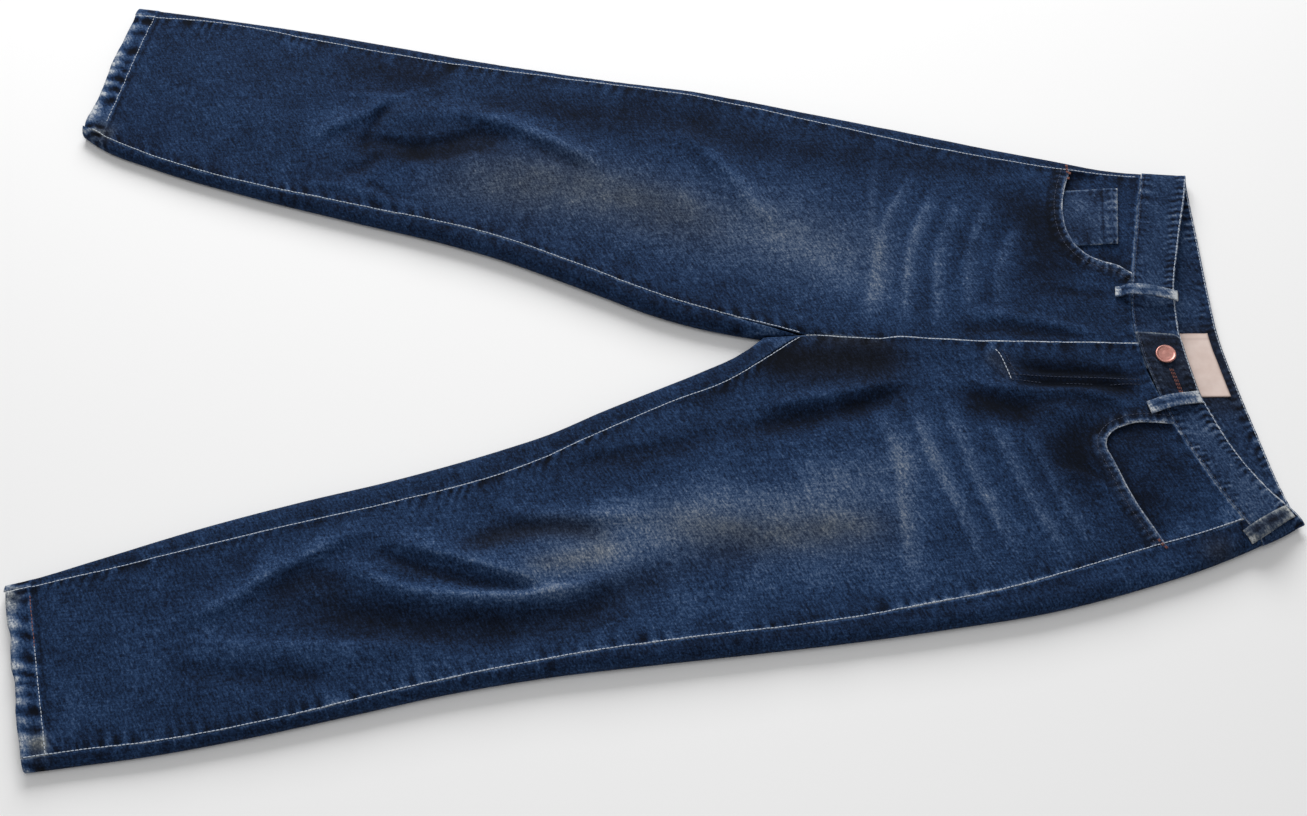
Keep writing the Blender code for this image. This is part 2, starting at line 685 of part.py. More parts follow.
def back_pocket(half, collection):
    """A pocket with a pointed lower edge, under the back."""
    box = BACK_POCKETS[half.side]
    x_low, x_high, y_low, y_high = box

    middle_x, middle_y = (x_low + x_high) / 2, (y_low + y_high) / 2
    turn = np.radians(BACK_POCKET_TURNS[half.side])

    def place(x, y):
        from_middle = abs(2 * (y - y_low) / (y_high - y_low) - 1)
        x -= BACK_POCKET_POINT * (1 - from_middle) * (x_high - x) / (x_high - x_low)
        x, y = x - middle_x, y - middle_y
        return (middle_x + x * np.cos(turn) - y * np.sin(turn),
                middle_y + x * np.sin(turn) + y * np.cos(turn), PATCH_WALL)

    name = f"back_pocket_{half.side}"
    return patch(name, box, PATCH_WALL, place, DENIM, collection, 4, 3)


def loop_bed(x, y):
    """Height of what a belt loop lies on: the front, then the waistband."""
    panel = half_at(y).top(x, y)
    height, lift = band_top(x, y)
    seam = front_waist_seam(y)
    return panel + (height + lift - panel) * smooth_step(x, seam - 9.0, seam - 2.0)


def front_loop(name, collection):
    """A belt loop that bows over the waistband, from the front to the free edge."""
    x_start, y_start, x_end, y_end, width, bow = FRONT_LOOPS[name]
    start, end = np.array((x_start, y_start)), np.array((x_end, y_end))
    along = (end - start) / np.hypot(*(end - start))
    across_loop = np.array((-along[1], along[0]))
    rows = []
    for i in range(LOOP_ROWS + 1):
        share = i / LOOP_ROWS
        row = []
        for j in range(LOOP_COLUMNS + 1):
            x, y = start + (end - start) * share + across_loop * width * (
                j / LOOP_COLUMNS - 0.5)
            arch = 2 * SEAM_GAP + LOOP_WALL + bow * np.sin(np.pi * share) ** 0.7
            row.append(moved_out(loop_bed, x, y, arch))
        rows.append(row)
    return sheet(name, rows, False, LOOP_WALL, DENIM_WORN, collection)


def back_loop(name, collection):
    """A belt loop flat under the back of the waistband."""
    y, width = BACK_LOOPS[name]
    low, high = back_waist_seam(y) - LOOP_OVERHANG, back_waist_top(y)
    box = (low, high, y - width / 2, y + width / 2)
    return patch(
        name, box, PATCH_WALL, lambda x, y: (x, y, PATCH_WALL), DENIM, collection, 2, 6)


def mouth_cutter(side, collection):
    """A prism that takes the pocket corner out of a front."""
    curve, _ = MOUTH_LINES[side]
    outline = [*curve, MOUTH_CORNERS[side]]
    bm = bmesh.new()
    low = [(np.array((x, y, CUTTER_FROM)) - MIDDLE) * MM for x, y in outline]
    face = bm.faces.new([bm.verts.new(point) for point in low])
    raised = bmesh.ops.extrude_face_region(bm, geom=[face])["geom"]
    tops = [part for part in raised if isinstance(part, bmesh.types.BMVert)]
    bmesh.ops.translate(bm, verts=tops, vec=(0, 0, CUTTER_HEIGHT * MM))
    bmesh.ops.recalc_face_normals(bm, faces=bm.faces)
    mesh = bpy.data.meshes.new(f"mouth_cutter_{side}")
    bm.to_mesh(mesh)
    bm.free()
    made = bpy.data.objects.new(f"mouth_cutter_{side}", mesh)
    made.hide_render = True
    made.display_type = "WIRE"
    collection.objects.link(made)
    return made


def cut_mouth(front, cutter):
    """Cut a pocket mouth in a front."""
    made = front.modifiers.new("pocket_mouth", "BOOLEAN")
    made.operation = "DIFFERENCE"
    made.solver = "EXACT"
    made.object = cutter


def waist_button(collection):
    """The tack button, turned from its profile."""
    bm = bmesh.new()
    profile = [bm.verts.new((radius * MM, 0, height * MM)) for radius, height in BUTTON_PROFILE]
    for first, second in zip(profile, profile[1:]):
        bm.edges.new((first, second))
    mesh = bpy.data.meshes.new("waist_button")
    bm.to_mesh(mesh)
    bm.free()
    mesh.shade_smooth()
    made = new_object("waist_button", mesh, COPPER, collection, 0.45, 0.6)
    height, lift = band_top(BUTTON_X, BUTTON_Y)
    place = np.array((BUTTON_X, BUTTON_Y, height + lift + BUTTON_CLEARANCE))
    made.location = (place - MIDDLE) * MM
    made.rotation_euler = (0, np.radians(BUTTON_TILT), 0)
    turn = made.modifiers.new("turned", "SCREW")
    turn.steps = turn.render_steps = BUTTON_SEGMENTS
    turn.use_merge_vertices = True
    turn.merge_threshold = 0.00001
    turn.use_normal_calculate = True
    return made


def new_collection(name):
    made = bpy.data.collections.new(name)
    bpy.context.scene.collection.children.link(made)
    return made


def main():
    for old in list(bpy.data.objects):
        bpy.data.objects.remove(old)
    jeans, helpers = new_collection("laid_jeans"), new_collection("helpers")
    for half in HALVES:
        cut_mouth(front_panel(half, jeans), mouth_cutter(half.side, helpers))
        back_panel(half, jeans)
        back_yoke(half, jeans)
        pocket_facing(half, jeans)
        back_pocket(half, jeans)
    waistband(jeans)
    coin_pocket(jeans)
    waist_label(jeans)
    for name in FRONT_LOOPS:
        front_loop(name, jeans)
    for name in BACK_LOOPS:
        back_loop(name, jeans)
    waist_button(jeans)


main()
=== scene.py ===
"""Looks of a pair of worn blue denim jeans that lie flat, front upwards, waist to the right.

Every piece of cloth is a thin shell on the form of its solid. The height of the cloth is
worked out from tables in millimetres, measured from a mark on the floor; MIDDLE is the
middle of the garment from there. Right and left are the wearer's.
"""

import bmesh
import bpy
import numpy as np
from bpy.props import FloatProperty, FloatVectorProperty, IntProperty, PointerProperty
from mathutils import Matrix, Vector


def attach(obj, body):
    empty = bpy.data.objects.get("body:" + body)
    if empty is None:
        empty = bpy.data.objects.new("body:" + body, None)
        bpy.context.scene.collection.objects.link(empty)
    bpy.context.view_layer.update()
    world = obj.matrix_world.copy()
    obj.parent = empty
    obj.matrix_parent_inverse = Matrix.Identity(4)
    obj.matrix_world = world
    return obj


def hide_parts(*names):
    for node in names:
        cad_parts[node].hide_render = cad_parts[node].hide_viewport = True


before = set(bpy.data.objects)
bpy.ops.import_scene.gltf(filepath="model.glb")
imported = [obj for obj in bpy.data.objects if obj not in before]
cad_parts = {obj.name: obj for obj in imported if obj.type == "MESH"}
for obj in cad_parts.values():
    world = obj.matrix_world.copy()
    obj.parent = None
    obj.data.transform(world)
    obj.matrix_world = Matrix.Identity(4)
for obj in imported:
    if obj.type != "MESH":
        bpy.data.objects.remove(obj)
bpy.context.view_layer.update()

bl_info = {
    "name": "Laid denim jeans",
    "version": (1, 0, 0),
    "blender": (4, 5, 0),
    "location": "3D View > Sidebar > Jeans",
    "description": "Makes the cloth, sewing and fittings of a laid pair of jeans",
    "category": "Object",
}

MM = 0.001
MIDDLE = np.array((3.2, -0.1, 0.0))
FLOOR_REACH, FLOOR_Z = 6.0, -0.0004     # in metres
SENSOR_WIDTH = 36.0

# Form of the laid garment, in millimetres
EDGE_REACH = 11.0       # how far in from the outline an edge still curves
EDGE_FLAT = 1.9
SEAM_GAP = 0.3
WAIST_GAP = 0.6
CROTCH_X = 95.0
CROSS_X = 128.0
TIP_START_X = 35.0
TIP_GAP = 0.045
VALLEY_FADE = 60.0
SEAT_RAISE = 1.5
SEAT_RAISE_X = (180.0, 222.0)
YOKE_DEPTH_MIDDLE = 62.0
YOKE_DEPTH_SIDE = 18.0
YOKE_REACH = 190.0
FLY_LAP = 4.0
FLY_LAP_X = (188.0, 214.0)
FLY_LIFT_X = (150.0, 186.0)
FLY_LIFT_REACH = (6.0, 24.0)
FLY_LIFT = 1.8
FRONT_WIDTH = 175.0     # sizes that the steps of the meshes are reckoned from
FRONT_LENGTH = 950.0
BACK_LEG_LENGTH = 620.0
BACK_SEAT_LENGTH = 330.0
YOKE_LENGTH = 70.0
SIDE_STRIP = 20.0
UNDER_COLUMNS = 39
BAND_WIDTH = 40.0
BAND_PROUD = 0.7
BACK_BAND_Z = 1.8
BAND_OVERLAP_Y = 6.0
BAND_UNDERLAP_Y = -28.0
BAND_LIFT_Y = (-58.0, -32.0)
BAND_LIFT = 3.2
BAND_WALL = 2.6
BAND_DROOP = (2.5, 5.0)
BAND_DROOP_Y = (-30.0, 120.0)
BAND_CORNER = 9.0       # round corner of the button end
HEM_DEPTH = 21.0        # turned-up hem
HEM_RISE = 0.8          # its second layer of cloth
POCKET_WALL = 1.0
LOOP_WALL = 1.3
LABEL_WALL = 0.5
UNDER_PATCH_WALL = 0.9  # back pockets and back loops, just off the floor
UNDER_PATCH_Z = 0.2
STITCH_PROUD = 0.25     # threads over the cloth
SEAM_STITCH_INSET = 0.9

# Outline and seams in plan: rows of x, y
RIGHT_LINES = {
    "outer": (
        (-495, 383.5), (-435, 373), (-337, 354.5), (-241, 333), (-145, 311.5), (-50, 293.5),
        (44, 278), (136, 256), (228, 233), (318, 210), (363, 199.5), (408, 189),
        (453, 184.5), (490, 184.5),
    ),
    "outseam": (
        (-495, 372), (-398, 360), (-321, 340), (-223, 317), (-94, 293), (37, 271),
        (140, 244), (250, 213), (344, 192), (402, 182), (445, 178),
    ),
    "inseam": (
        (-529, 240), (-504, 225), (-474, 210), (-401, 182), (-306, 156), (-212, 132),
        (-154, 116), (-66, 80), (1, 50), (46, 34), (90, 20), (128, 8.5),
    ),
    "inner": (
        (-531, 234), (-511, 219), (-462, 196.5), (-367, 163.5), (-274, 136), (-182, 109.5),
        (-137, 94), (-92, 75), (-47, 55), (-3, 35.5), (41, 21), (74, 13.5), (95, 9.5),
    ),
}
LEFT_LINES = {
    "inner": (
        (-526, -226), (-505, -220.5), (-451, -202), (-373, -175), (-293, -151), (-211, -129),
        (-129, -102.5), (-87, -86.5), (-45, -65.5), (-3, -46), (40, -26), (74, -8), (95, 8.5),
    ),
    "inseam": (
        (-526, -233), (-504, -228), (-475, -221), (-410, -204), (-313, -178), (-198, -149),
        (-139, -132), (-95, -114), (-51, -91), (11, -60), (67, -35), (94, -17), (128, 7.5),
    ),
    "outseam": (
        (-487, -375), (-441, -368), (-390, -362), (-340, -353), (-281, -340), (-215, -323),
        (-104, -298), (8, -279), (85, -269), (160, -258), (222, -246), (284, -233),
        (348, -214), (412, -194), (445, -184), (488, -169),
    ),
    "outer": (
        (-489, -384), (-460, -380), (-391, -370), (-315, -355), (-238, -337), (-161, -319),
        (-82, -305), (-3, -295), (77, -285.5), (157, -275.5), (238, -263.5), (320, -249),
        (403, -226), (447, -211), (491, -192.5), (521, -178), (540, -168.5),
    ),
}
CENTRE_FRONT = (
    (95, 9.5), (128, 8), (170, 3), (231, -2), (276, -5), (369, -7), (420, -8), (460, -8),
)

# Waist lines in plan: rows of y, x
FRONT_WAIST_SEAM = (
    (-196, 502), (-179, 490.5), (-152, 473), (-114, 453), (-75, 435), (-50, 427),
    (-34, 422), (-4, 416), (31, 415), (77, 422), (119, 430), (155, 437), (189, 445),
)
FRONT_WAIST_TOP = (
    (-172, 537), (-161, 529), (-142, 512), (-114, 492), (-75, 473), (-41, 461),
    (-20, 457), (4, 454), (31, 454), (65, 457), (92, 463), (126, 471), (157, 479), (189, 485),
)
BACK_WAIST_TOP = (
    (-192, 540), (-172, 534), (-133, 522), (-85, 511), (-34, 500), (14, 491.5), (57, 489),
    (119, 487), (162, 485.5), (189, 485),
)

# Height of the tube at its edges, and of the middle of the front above that: rows of x, mm
EDGE_HEIGHT = (
    (-530, 11), (-490, 12), (-420, 13), (-250, 15), (0, 17), (95, 16), (250, 16),
    (400, 15.5), (460, 15), (540, 15),
)
CROWN_HEIGHT = (
    (-530, 0.5), (-470, 2), (-300, 4), (-100, 5), (95, 5), (250, 6), (400, 6), (540, 5),
)

# Creases, worn streaks and faded areas laid on the fronts: points along the middle of
# each, half width to the left and to the right of the way it runs, height in millimetres,
# shade (above 0 is paler) and brown-grey soiling
# Crease shade is part wear, part painted light and shade: paler ridges and crests, darker hollows.
MARKS = {
    "right_small_crease": (((-297, 272), (-269, 270), (-244, 268), (-214, 274)), 3, 3, 0.9, 0.07, 0),
    "right_ankle_ridge": (
        ((-314, 221), (-290, 234), (-270, 244), (-254, 256), (-241, 268)), 12, 5, 4.0, 0.07, 0),
    "right_ankle_valley": (((-244, 262), (-258, 241), (-266, 222), (-269, 201)), 7, 3, -3.0, -0.13, 0),
    "right_ankle_hollow": (((-250, 203), (-262, 190), (-287, 182)), 6, 6, -2.0, -0.10, 0.1),
    "right_shin_roll": (((-250, 243), (-208, 247), (-165, 246)), 14, 12, 3.0, 0.04, 0),
    "right_knee_ridge": (
        ((-185, 246), (-142, 235), (-114, 222), (-86, 207), (-63, 193), (-44, 179)),
        12, 5.5, 5.0, 0.07, 0),
    "right_upper_hollow": (
        ((-278, 222), (-250, 217), (-220, 212), (-196, 214), (-164, 223), (-122, 218)),
        7, 10, -4.0, -0.15, 0),
    "right_lower_hollow": (((-236, 204), (-200, 199), (-169, 206), (-138, 213)), 9, 8, -2.4, -0.14, 0.1),
    "right_under_ridge": (((-114, 211), (-86, 195), (-59, 181)), 4, 8, -1.5, -0.07, 0.1),
    "right_dash": (((-262, 174), (-246, 162), (-230, 148)), 2.5, 2.5, -1.5, -0.12, 0),
    "right_inseam_roll": (((-321, 172), (-284, 167), (-247, 153), (-211, 141)), 5, 5, 1.5, 0.06, 0),
    "right_thigh_ridge": (((12, 233), (47, 203), (70, 177), (92, 141), (114, 113)), 13, 9, 3.5, 0.03, 0),
    "right_thigh_hollow": (((0, 205), (48, 160), (88, 105)), 12, 12, -2.0, 0, 0),
    "right_side_hollow": (((-110, 262), (0, 246), (100, 220)), 18, 30, -1.2, -0.10, 0),
    "right_seat_ridge": (((266, 30), (309, 24), (351, 14), (390, 5)), 6, 5, 2.5, 0.11, 0),
    "right_seat_hollow": (((250, 12), (307, 9), (370, 2)), 7, 4, -1.5, -0.12, 0),
    "right_hip_roll": (((299, 170), (331, 172), (362, 168)), 7, 7, 0.8, 0.06, 0),
    "right_hip_shade": (((322, 160), (345, 120), (350, 60)), 24, 30, -0.8, -0.17, 0),
    "right_side_shade": (((240, 194), (290, 186), (320, 182)), 9, 9, -0.5, -0.07, 0),
    "right_waist_dart": (((330, 52), (365, 50), (400, 44)), 3, 3, -0.8, -0.08, 0),
    "left_ankle_ridge": (
        ((-385, -262), (-344, -248), (-312, -223), (-280, -205), (-256, -191), (-225, -179)),
        12, 6, 5.0, 0.10, 0),
    "left_ankle_hollow": (((-305, -236), (-275, -226), (-252, -238)), 14, 12, -2.5, -0.10, 0.1),
    "left_upper_ridge": (
        ((-224, -191), (-174, -204), (-141, -215), (-109, -224), (-80, -235)), 14, 4, 5.0, 0.08, 0),
    "left_eye_hollow": (((-235, -199), (-190, -215), (-149, -227), (-88, -236)), 5, 6, -4.0, -0.15, 0.1),
    "left_lower_ridge": (
        ((-262, -205), (-230, -223), (-205, -234), (-164, -241), (-100, -241), (-52, -231),
         (-12, -215)), 6, 9, 5.5, 0.12, 0),
    "left_knee_trough": (
        ((-316, -248), (-251, -254), (-187, -263), (-123, -263), (-76, -254), (-28, -240),
         (20, -222)), 14, 22, -6.0, -0.15, 0.1),
    "left_calf_roll": (((-376, -279), (-313, -283), (-233, -283), (-146, -283)), 6, 14, 3.0, 0.07, 0),
    "left_calf_hollow": (((-385, -302), (-318, -307), (-240, -309)), 8, 9, -2.0, -0.08, 0),
    "left_patch_hollow": (((-160, -198), (-118, -184), (-77, -180), (-30, -188)), 9, 10, -2.5, -0.15, 0.6),
    "left_patch_ridge": (((-127, -168), (-86, -171), (-37, -171), (5, -169)), 10, 5, 3.0, 0.07, 0),
    "left_patch_roll": (((-109, -213), (-69, -208), (-28, -198)), 9, 9, 2.0, 0.05, 0.4),
    "left_crotch_ridge": (
        ((90, -64), (115, -62), (149, -56), (183, -49), (213, -42)), 8, 4, 4.0, 0.06, 0),
    "left_crotch_hollow": (
        ((60, -90), (106, -79), (148, -69), (182, -60), (222, -47)), 8, 12, -4.5, -0.18, 0),
    "left_fork_shade": (((95, -18), (150, -18), (215, -18)), 15, 20, -1.0, -0.22, 0.5),
    "left_fly_ridge": (
        ((250, -34), (285, -45), (319, -50), (361, -51), (394, -61), (409, -76)),
        4, 7, 3.5, 0.10, 0),
    "left_fly_hollow": (((262, -50), (292, -63), (330, -70)), 11, 15, -2.5, -0.21, 0),
    "left_fly_shade": (((296, -24), (350, -36), (412, -44)), 14, 12, 0, -0.17, 0),
    "left_upper_trough": (((305, -27), (346, -31), (380, -33), (416, -37)), 4, 3, -3.0, -0.16, 0),
    "left_lower_trough": (((305, -41), (354, -43), (388, -44), (414, -54)), 3, 4, -3.2, -0.17, 0),
    "left_fly_dark": (((296, -46), (350, -52), (405, -60)), 11, 14, 0, -0.11, 0),
    "right_inner_light": (((-60, 112), (60, 76), (150, 44)), 14, 14, 0, 0.05, 0),
    # painted light on the slope down to the left outer edge
    "left_side_light": (((-300, -326), (-100, -286), (100, -252)), 14, 22, 0, 0.05, 0),
    "left_seam_rub": (((165, -256), (222, -245), (284, -232), (348, -213)), 4, 5, 0, 0.18, 0),
    "left_outseam_rub": (
        ((-330, -351), (-215, -322), (-104, -297), (8, -278), (85, -268), (165, -257)),
        4, 4, 0, 0.08, 0),
    "left_fly_base": (((285, -16), (297, -26), (304, -38)), 9, 7, 0.5, 0.03, 0.7),
    "left_pocket_hollow": (((371, -80), (356, -102), (358, -124), (373, -137)), 8, 24, -2.0, -0.19, 0),
    "left_hip_roll": (((321, -76), (343, -68), (368, -73)), 7, 10, 1.5, 0.06, 0),
    "left_hip_ridge": (((337, -124), (361, -133), (376, -146)), 3, 9, 2.0, 0.07, 0),
    "right_streak_0": (((201, 195), (194, 145), (193, 96)), 5, 3, 0.4, 0.08, 0.15),
    "right_streak_1": (((194, 95), (194, 70), (184, 28)), 14, 5, 0.8, 0.17, 0.15),
    "right_streak_2": (((234, 180), (207, 130), (193, 80)), 7, 3, 0.8, 0.14, 0.15),
    "right_streak_3": (((256, 172), (227, 101), (213, 12)), 9, 3, 0.9, 0.17, 0.15),
    "right_streak_4": (((275, 158), (251, 96), (243, 10)), 9, 3, 0.8, 0.16, 0.15),
    "right_streak_5": (((302, 158), (278, 96), (271, 22)), 11, 3, 0.7, 0.13, 0.15),
    "right_streak_6": (((329, 130), (307, 90), (297, 22)), 10, 3, 0.7, 0.12, 0.15),
    "left_streak_1": (((185, -62), (202, -116), (203, -172), (209, -232)), 12, 4, 0.8, 0.14, 0.15),
    "left_streak_2": (((214, -52), (228, -107), (247, -158), (269, -220)), 10, 3, 0.9, 0.17, 0.15),
    "left_streak_3": (((243, -56), (259, -114), (276, -163), (296, -210)), 11, 3, 0.9, 0.16, 0.15),
    "left_streak_4": (((278, -70), (296, -118), (313, -161), (338, -212)), 11, 3, 0.8, 0.14, 0.15),
    "left_streak_5": (((309, -84), (326, -128), (339, -165), (358, -200)), 11, 3, 0.8, 0.13, 0.15),
    "right_hook_shade": (((-264, 205), (-236, 200), (-204, 202)), 9, 8, -0.8, -0.11, 0),
    "right_knee_fade": (
        ((-190, 172), (-100, 166), (-30, 156), (50, 130), (129, 105), (215, 78)),
        40, 52, 0, 0.15, 0.35),
    "right_knee_rub": (((-200, 196), (-110, 176), (-20, 150), (70, 118)), 26, 32, 0, 0.03, 0.45),
    "right_thigh_glow": (((90, 160), (150, 130), (215, 96)), 50, 46, 0, 0.07, 0.1),
    "right_thigh_crest_highlight": (
        ((12, 231), (47, 201), (70, 174), (92, 139), (114, 111)), 5, 3, 0.4, 0.07, 0),
    "right_knee_crest_highlight": (
        ((-142, 237), (-114, 224), (-86, 209), (-63, 195), (-44, 181)), 3, 2, 0.3, 0.06, 0),
    "right_thigh_fade": (((60, 110), (129, 95), (185, 60)), 22, 24, 0, 0.08, 0),
    "right_calf_fade": (((-220, 165), (-160, 160), (-100, 140)), 20, 20, 0, 0.04, 0.2),
    "right_streak_ground": (((200, 110), (250, 90), (300, 70)), 60, 50, 0, 0.04, 0),
    "left_knee_fade": (
        ((-125, -214), (-45, -194), (37, -166), (119, -166), (225, -150)), 32, 42, 0, 0.21, 0.2),
    "left_knee_soil": (((0, -176), (80, -184), (140, -180), (205, -178)), 16, 20, 0, 0.0, 0.6),
    "left_shin_crest_highlight": (((-344, -249), (-312, -222), (-280, -204), (-256, -190)), 4, 2, 0.3, 0.07, 0),
    "left_upper_crest_highlight": (((-200, -196), (-141, -214), (-109, -223), (-85, -233)), 3, 2, 0.3, 0.08, 0),
    "left_lower_crest_highlight": (
        ((-230, -221), (-205, -231), (-164, -239), (-100, -239), (-52, -229)), 3, 3, 0.3, 0.06, 0),
    "left_thigh_dip": (((-60, -232), (-10, -222), (50, -206), (100, -196)), 12, 16, -1.5, -0.09, 0.1),
    "left_knee_rub": (((-100, -222), (-60, -212), (-10, -196)), 10, 12, 0, 0.08, 0),
    "left_streak_ground": (((200, -130), (260, -130), (310, -140)), 50, 55, 0, 0.05, 0),
    "left_shin_fade": (((-440, -290), (-330, -262), (-240, -262)), 22, 26, 0, 0.02, 0),
    "left_streak_light": (((124, -134), (180, -124), (230, -112)), 24, 18, 0, 0.14, 0.1),
    "left_outer_light": (
        ((-30, -246), (52, -235), (117, -227), (182, -216), (245, -206)), 26, 20, 0, 0.09, 0),
    "left_trough_light": (((-150, -243), (-100, -239), (-52, -239)), 10, 9, 0, 0.11, 0),
    "left_crotch_crease": (((-79, -126), (-41, -114), (4, -105), (60, -88)), 6, 12, -2.0, -0.10, 0),
    "left_fork_dark": (((38, -56), (82, -26), (125, -12)), 22, 16, 0, -0.11, 0),
    "left_hip_dark": (((316, -112), (345, -118), (370, -112)), 20, 18, 0, -0.09, 0),
    "left_fly_low_dark": (((262, -66), (317, -72)), 16, 16, 0, -0.06, 0),
    "left_hem_light": (((-466, -300), (-458, -330), (-452, -352)), 10, 12, 0, 0.07, 0),
    "right_outer_dark": (((60, 220), (133, 208), (206, 199), (262, 191)), 14, 18, 0, -0.08, 0),
    "right_ridge_dark": (((-170, 266), (-117, 254), (-69, 245)), 12, 12, 0, -0.08, 0),
    "right_shin_dark": (((-300, 308), (-238, 296), (-190, 286)), 16, 18, 0, -0.09, 0),
    "right_gap_dark": (((258, 118), (290, 92)), 11, 11, 0, -0.07, 0),
    "right_streak_light": (((145, 66), (180, 54), (222, 46)), 20, 20, 0, 0.08, 0),
    "right_seat_dark": (((300, 22), (351, 14), (395, 10)), 12, 12, 0, -0.05, 0),
    "left_hem_corner_soil": (((-484, -366), (-470, -362)), 11, 13, 0, 0.28, 1.0),
    "right_hem_corner_soil": (((-520, 236), (-500, 226)), 12, 12, 0, 0.20, 0.9),
    "left_hem_inner_soil": (((-524, -236), (-510, -238)), 8, 12, 0, 0.16, 0.8),
    "fork_soil": (((130, 8), (165, 2), (205, -4)), 3, 8, 0, 0.02, 0.8),
}
MARK_STEPS = 28
MARK_REACH = 2.6        # in half widths; beyond it a mark has no effect
MARK_END_FADE = 0.26    # share of its length over which a mark fades at either end

# Pocket mouths cut in the fronts: rows of x, y from beyond the side seam to beyond the waist
MOUTHS = {
    "right": (
        (378, 200), (377, 184), (371, 165), (367, 148), (366, 132), (368, 115), (374, 100),
        (383, 90), (396, 83), (409, 78), (417, 72), (430, 66),
    ),
    "left": (
        (423, -206), (415, -190), (407, -175), (399, -160), (392, -144), (386, -127),
        (381, -113), (378, -105), (379, -97), (385, -89), (395, -84), (407, -81),
        (420, -81), (434, -82), (450, -82),
    ),
}
MOUTH_CORNERS = {"right": (470, 215), "left": (520, -215)}
MOUTH_STEPS = 90
MOUTH_RUN_X = (330, 470)        # where a place can lie along a mouth, or near one
MOUTH_NEAR_X = (320, 520)
FAR_UNDER = -999.0              # the distance given to every other place
FACING_DEPTHS = {"right": 4.2, "left": 2.7}
FACING_UNDER = 14.0
FACING_INSET = 0.2
FACING_LEVEL = 7.0      # near its seams a facing comes up level with the panels
FACING_RISE = (0.0, 40.0)
FACING_START = 22.0

# Small pieces in plan: ranges of x and of y, then for a back pocket its turn in degrees
COIN_POCKET = (360, 418, 102, 163)
COIN_POCKET_SLANT = 7.0
COIN_HEM = 14.0
LABEL_Y = (-47, 17)
LABEL_FROM_EDGE = (9.0, 35.0)
BACK_POCKETS = {"right": (245, 385, 50, 180, 3.0), "left": (245, 385, -198, -68, -9.0)}
BACK_POCKET_POINT = 18.0

# Belt loops: x, y of their two ends, width and bow, or y of the middle and width
FRONT_LOOPS = {
    "belt_loop_front_right": (402, 49, 456, 44, 10.5, 4.0),
    "belt_loop_front_left": (417, -68, 463, -55, 12.0, 3.0),
    "belt_loop_side_left": (484, -186, 524, -161, 12.0, 4.0),
}
BACK_LOOPS = {"belt_loop_side_right": (160, 11.0), "belt_loop_back": (-8, 11.0)}
LOOP_OVERHANG = 8.0

# Button: its place, and rows of radius and height from its middle outwards and back
BUTTON_X, BUTTON_Y, BUTTON_CLEARANCE = 437.0, -17.0, 0.8
BUTTON_PROFILE = (
    (0.0, 0.0), (4.2, 0.0), (4.2, 1.3), (7.8, 1.5), (8.6, 1.9), (8.8, 2.5), (8.6, 3.1),
    (8.1, 3.5), (7.5, 3.5), (7.0, 3.1), (6.2, 2.9), (5.4, 3.0), (4.6, 2.85), (2.4, 3.0),
    (0.0, 3.05),
)

# Where threads start and stop along the garment, and the bars of close stitches: x, y of the
# middle, then the way they run
SIDE_SEWN_X = {"right": (-486, 436), "left": (-486, 490)}
INSEAM_SEWN_FROM = -518
FLY_SEWN_TO = 412
FLY_TURN_X, FLY_TURN_Y = 305, -40.0
STITCH_LINE_STEP = 3.0
BARTACKS = (((375, 186), (0, -7)), ((414, -193), (-5, 6)), ((376, 178), (2, 6)))

# Worn and dirty spots where the left back and yoke come round to the top, beside the pocket
LEFT_SIDE_RUB = (405, -213)
LEFT_CORNER_DIRT = (460, -198)


# Curves and noise

def smooth_step(value, low, high):
    """0 below low, 1 above high and an S-curve between."""
    t = np.clip((np.asarray(value, float) - low) / (high - low), 0.0, 1.0)
    return t * t * (3.0 - 2.0 * t)


def bump(value, width):
    """1 at 0, falling smoothly to nothing over a few widths."""
    return np.exp(-((np.asarray(value, float) / width) ** 2))


def smooth_curve(rows):
    """A function that follows the smooth curve through the rows, level past its ends."""
    table = np.array(sorted(rows), float)
    knots, values = table[:, 0], table[:, 1]
    slopes = np.gradient(values, knots)

    def at(place):
        place = np.clip(place, knots[0], knots[-1])
        i = np.clip(np.searchsorted(knots, place) - 1, 0, len(knots) - 2)
        width = knots[i + 1] - knots[i]
        t = (place - knots[i]) / width
        start = (1 + 2 * t) * (1 - t) ** 2 * values[i] + t * (1 - t) ** 2 * width * slopes[i]
        end = t * t * (3 - 2 * t) * values[i + 1] + t * t * (t - 1) * width * slopes[i + 1]
        return start + end

    return at


def hashed(cell, seed):
    """A fixed value from -1 to 1 for each whole number."""
    value = np.sin(cell * 12.9898 + seed * 78.233) * 43758.5453
    return 2.0 * (value - np.floor(value)) - 1.0


def ripple(place, seed):
    """Smooth uneven waves along a line, from -1 to 1, about one for each unit."""
    place = np.asarray(place, float)
    cell = np.floor(place)
    t = place - cell
    t = t * t * (3 - 2 * t)
    return hashed(cell, seed) * (1 - t) + hashed(cell + 1, seed) * t


def cloud(x, y, size, seed):
    """Smooth uneven patches of about that size, from -1 to 1."""
    x, y = np.asarray(x, float) / size, np.asarray(y, float) / size
    i, j = np.floor(x), np.floor(y)
    s, t = x - i, y - j
    s, t = s * s * (3 - 2 * s), t * t * (3 - 2 * t)

    def corner(a, b):
        return hashed((i + a) * 7.31 + (j + b) * 41.7, seed)
    low = corner(0, 0) * (1 - s) + corner(1, 0) * s
    high = corner(0, 1) * (1 - s) + corner(1, 1) * s
    return low * (1 - t) + high * t


centre_front = smooth_curve(CENTRE_FRONT)
front_waist_seam = smooth_curve(FRONT_WAIST_SEAM)
front_waist_top = smooth_curve(FRONT_WAIST_TOP)
back_waist_top = smooth_curve(BACK_WAIST_TOP)
edge_height = smooth_curve(EDGE_HEIGHT)
crown_height = smooth_curve(CROWN_HEIGHT)
MIDDLE_Y = CENTRE_FRONT[-1][1]


def back_waist_seam(y):
    return back_waist_top(y) - BAND_WIDTH


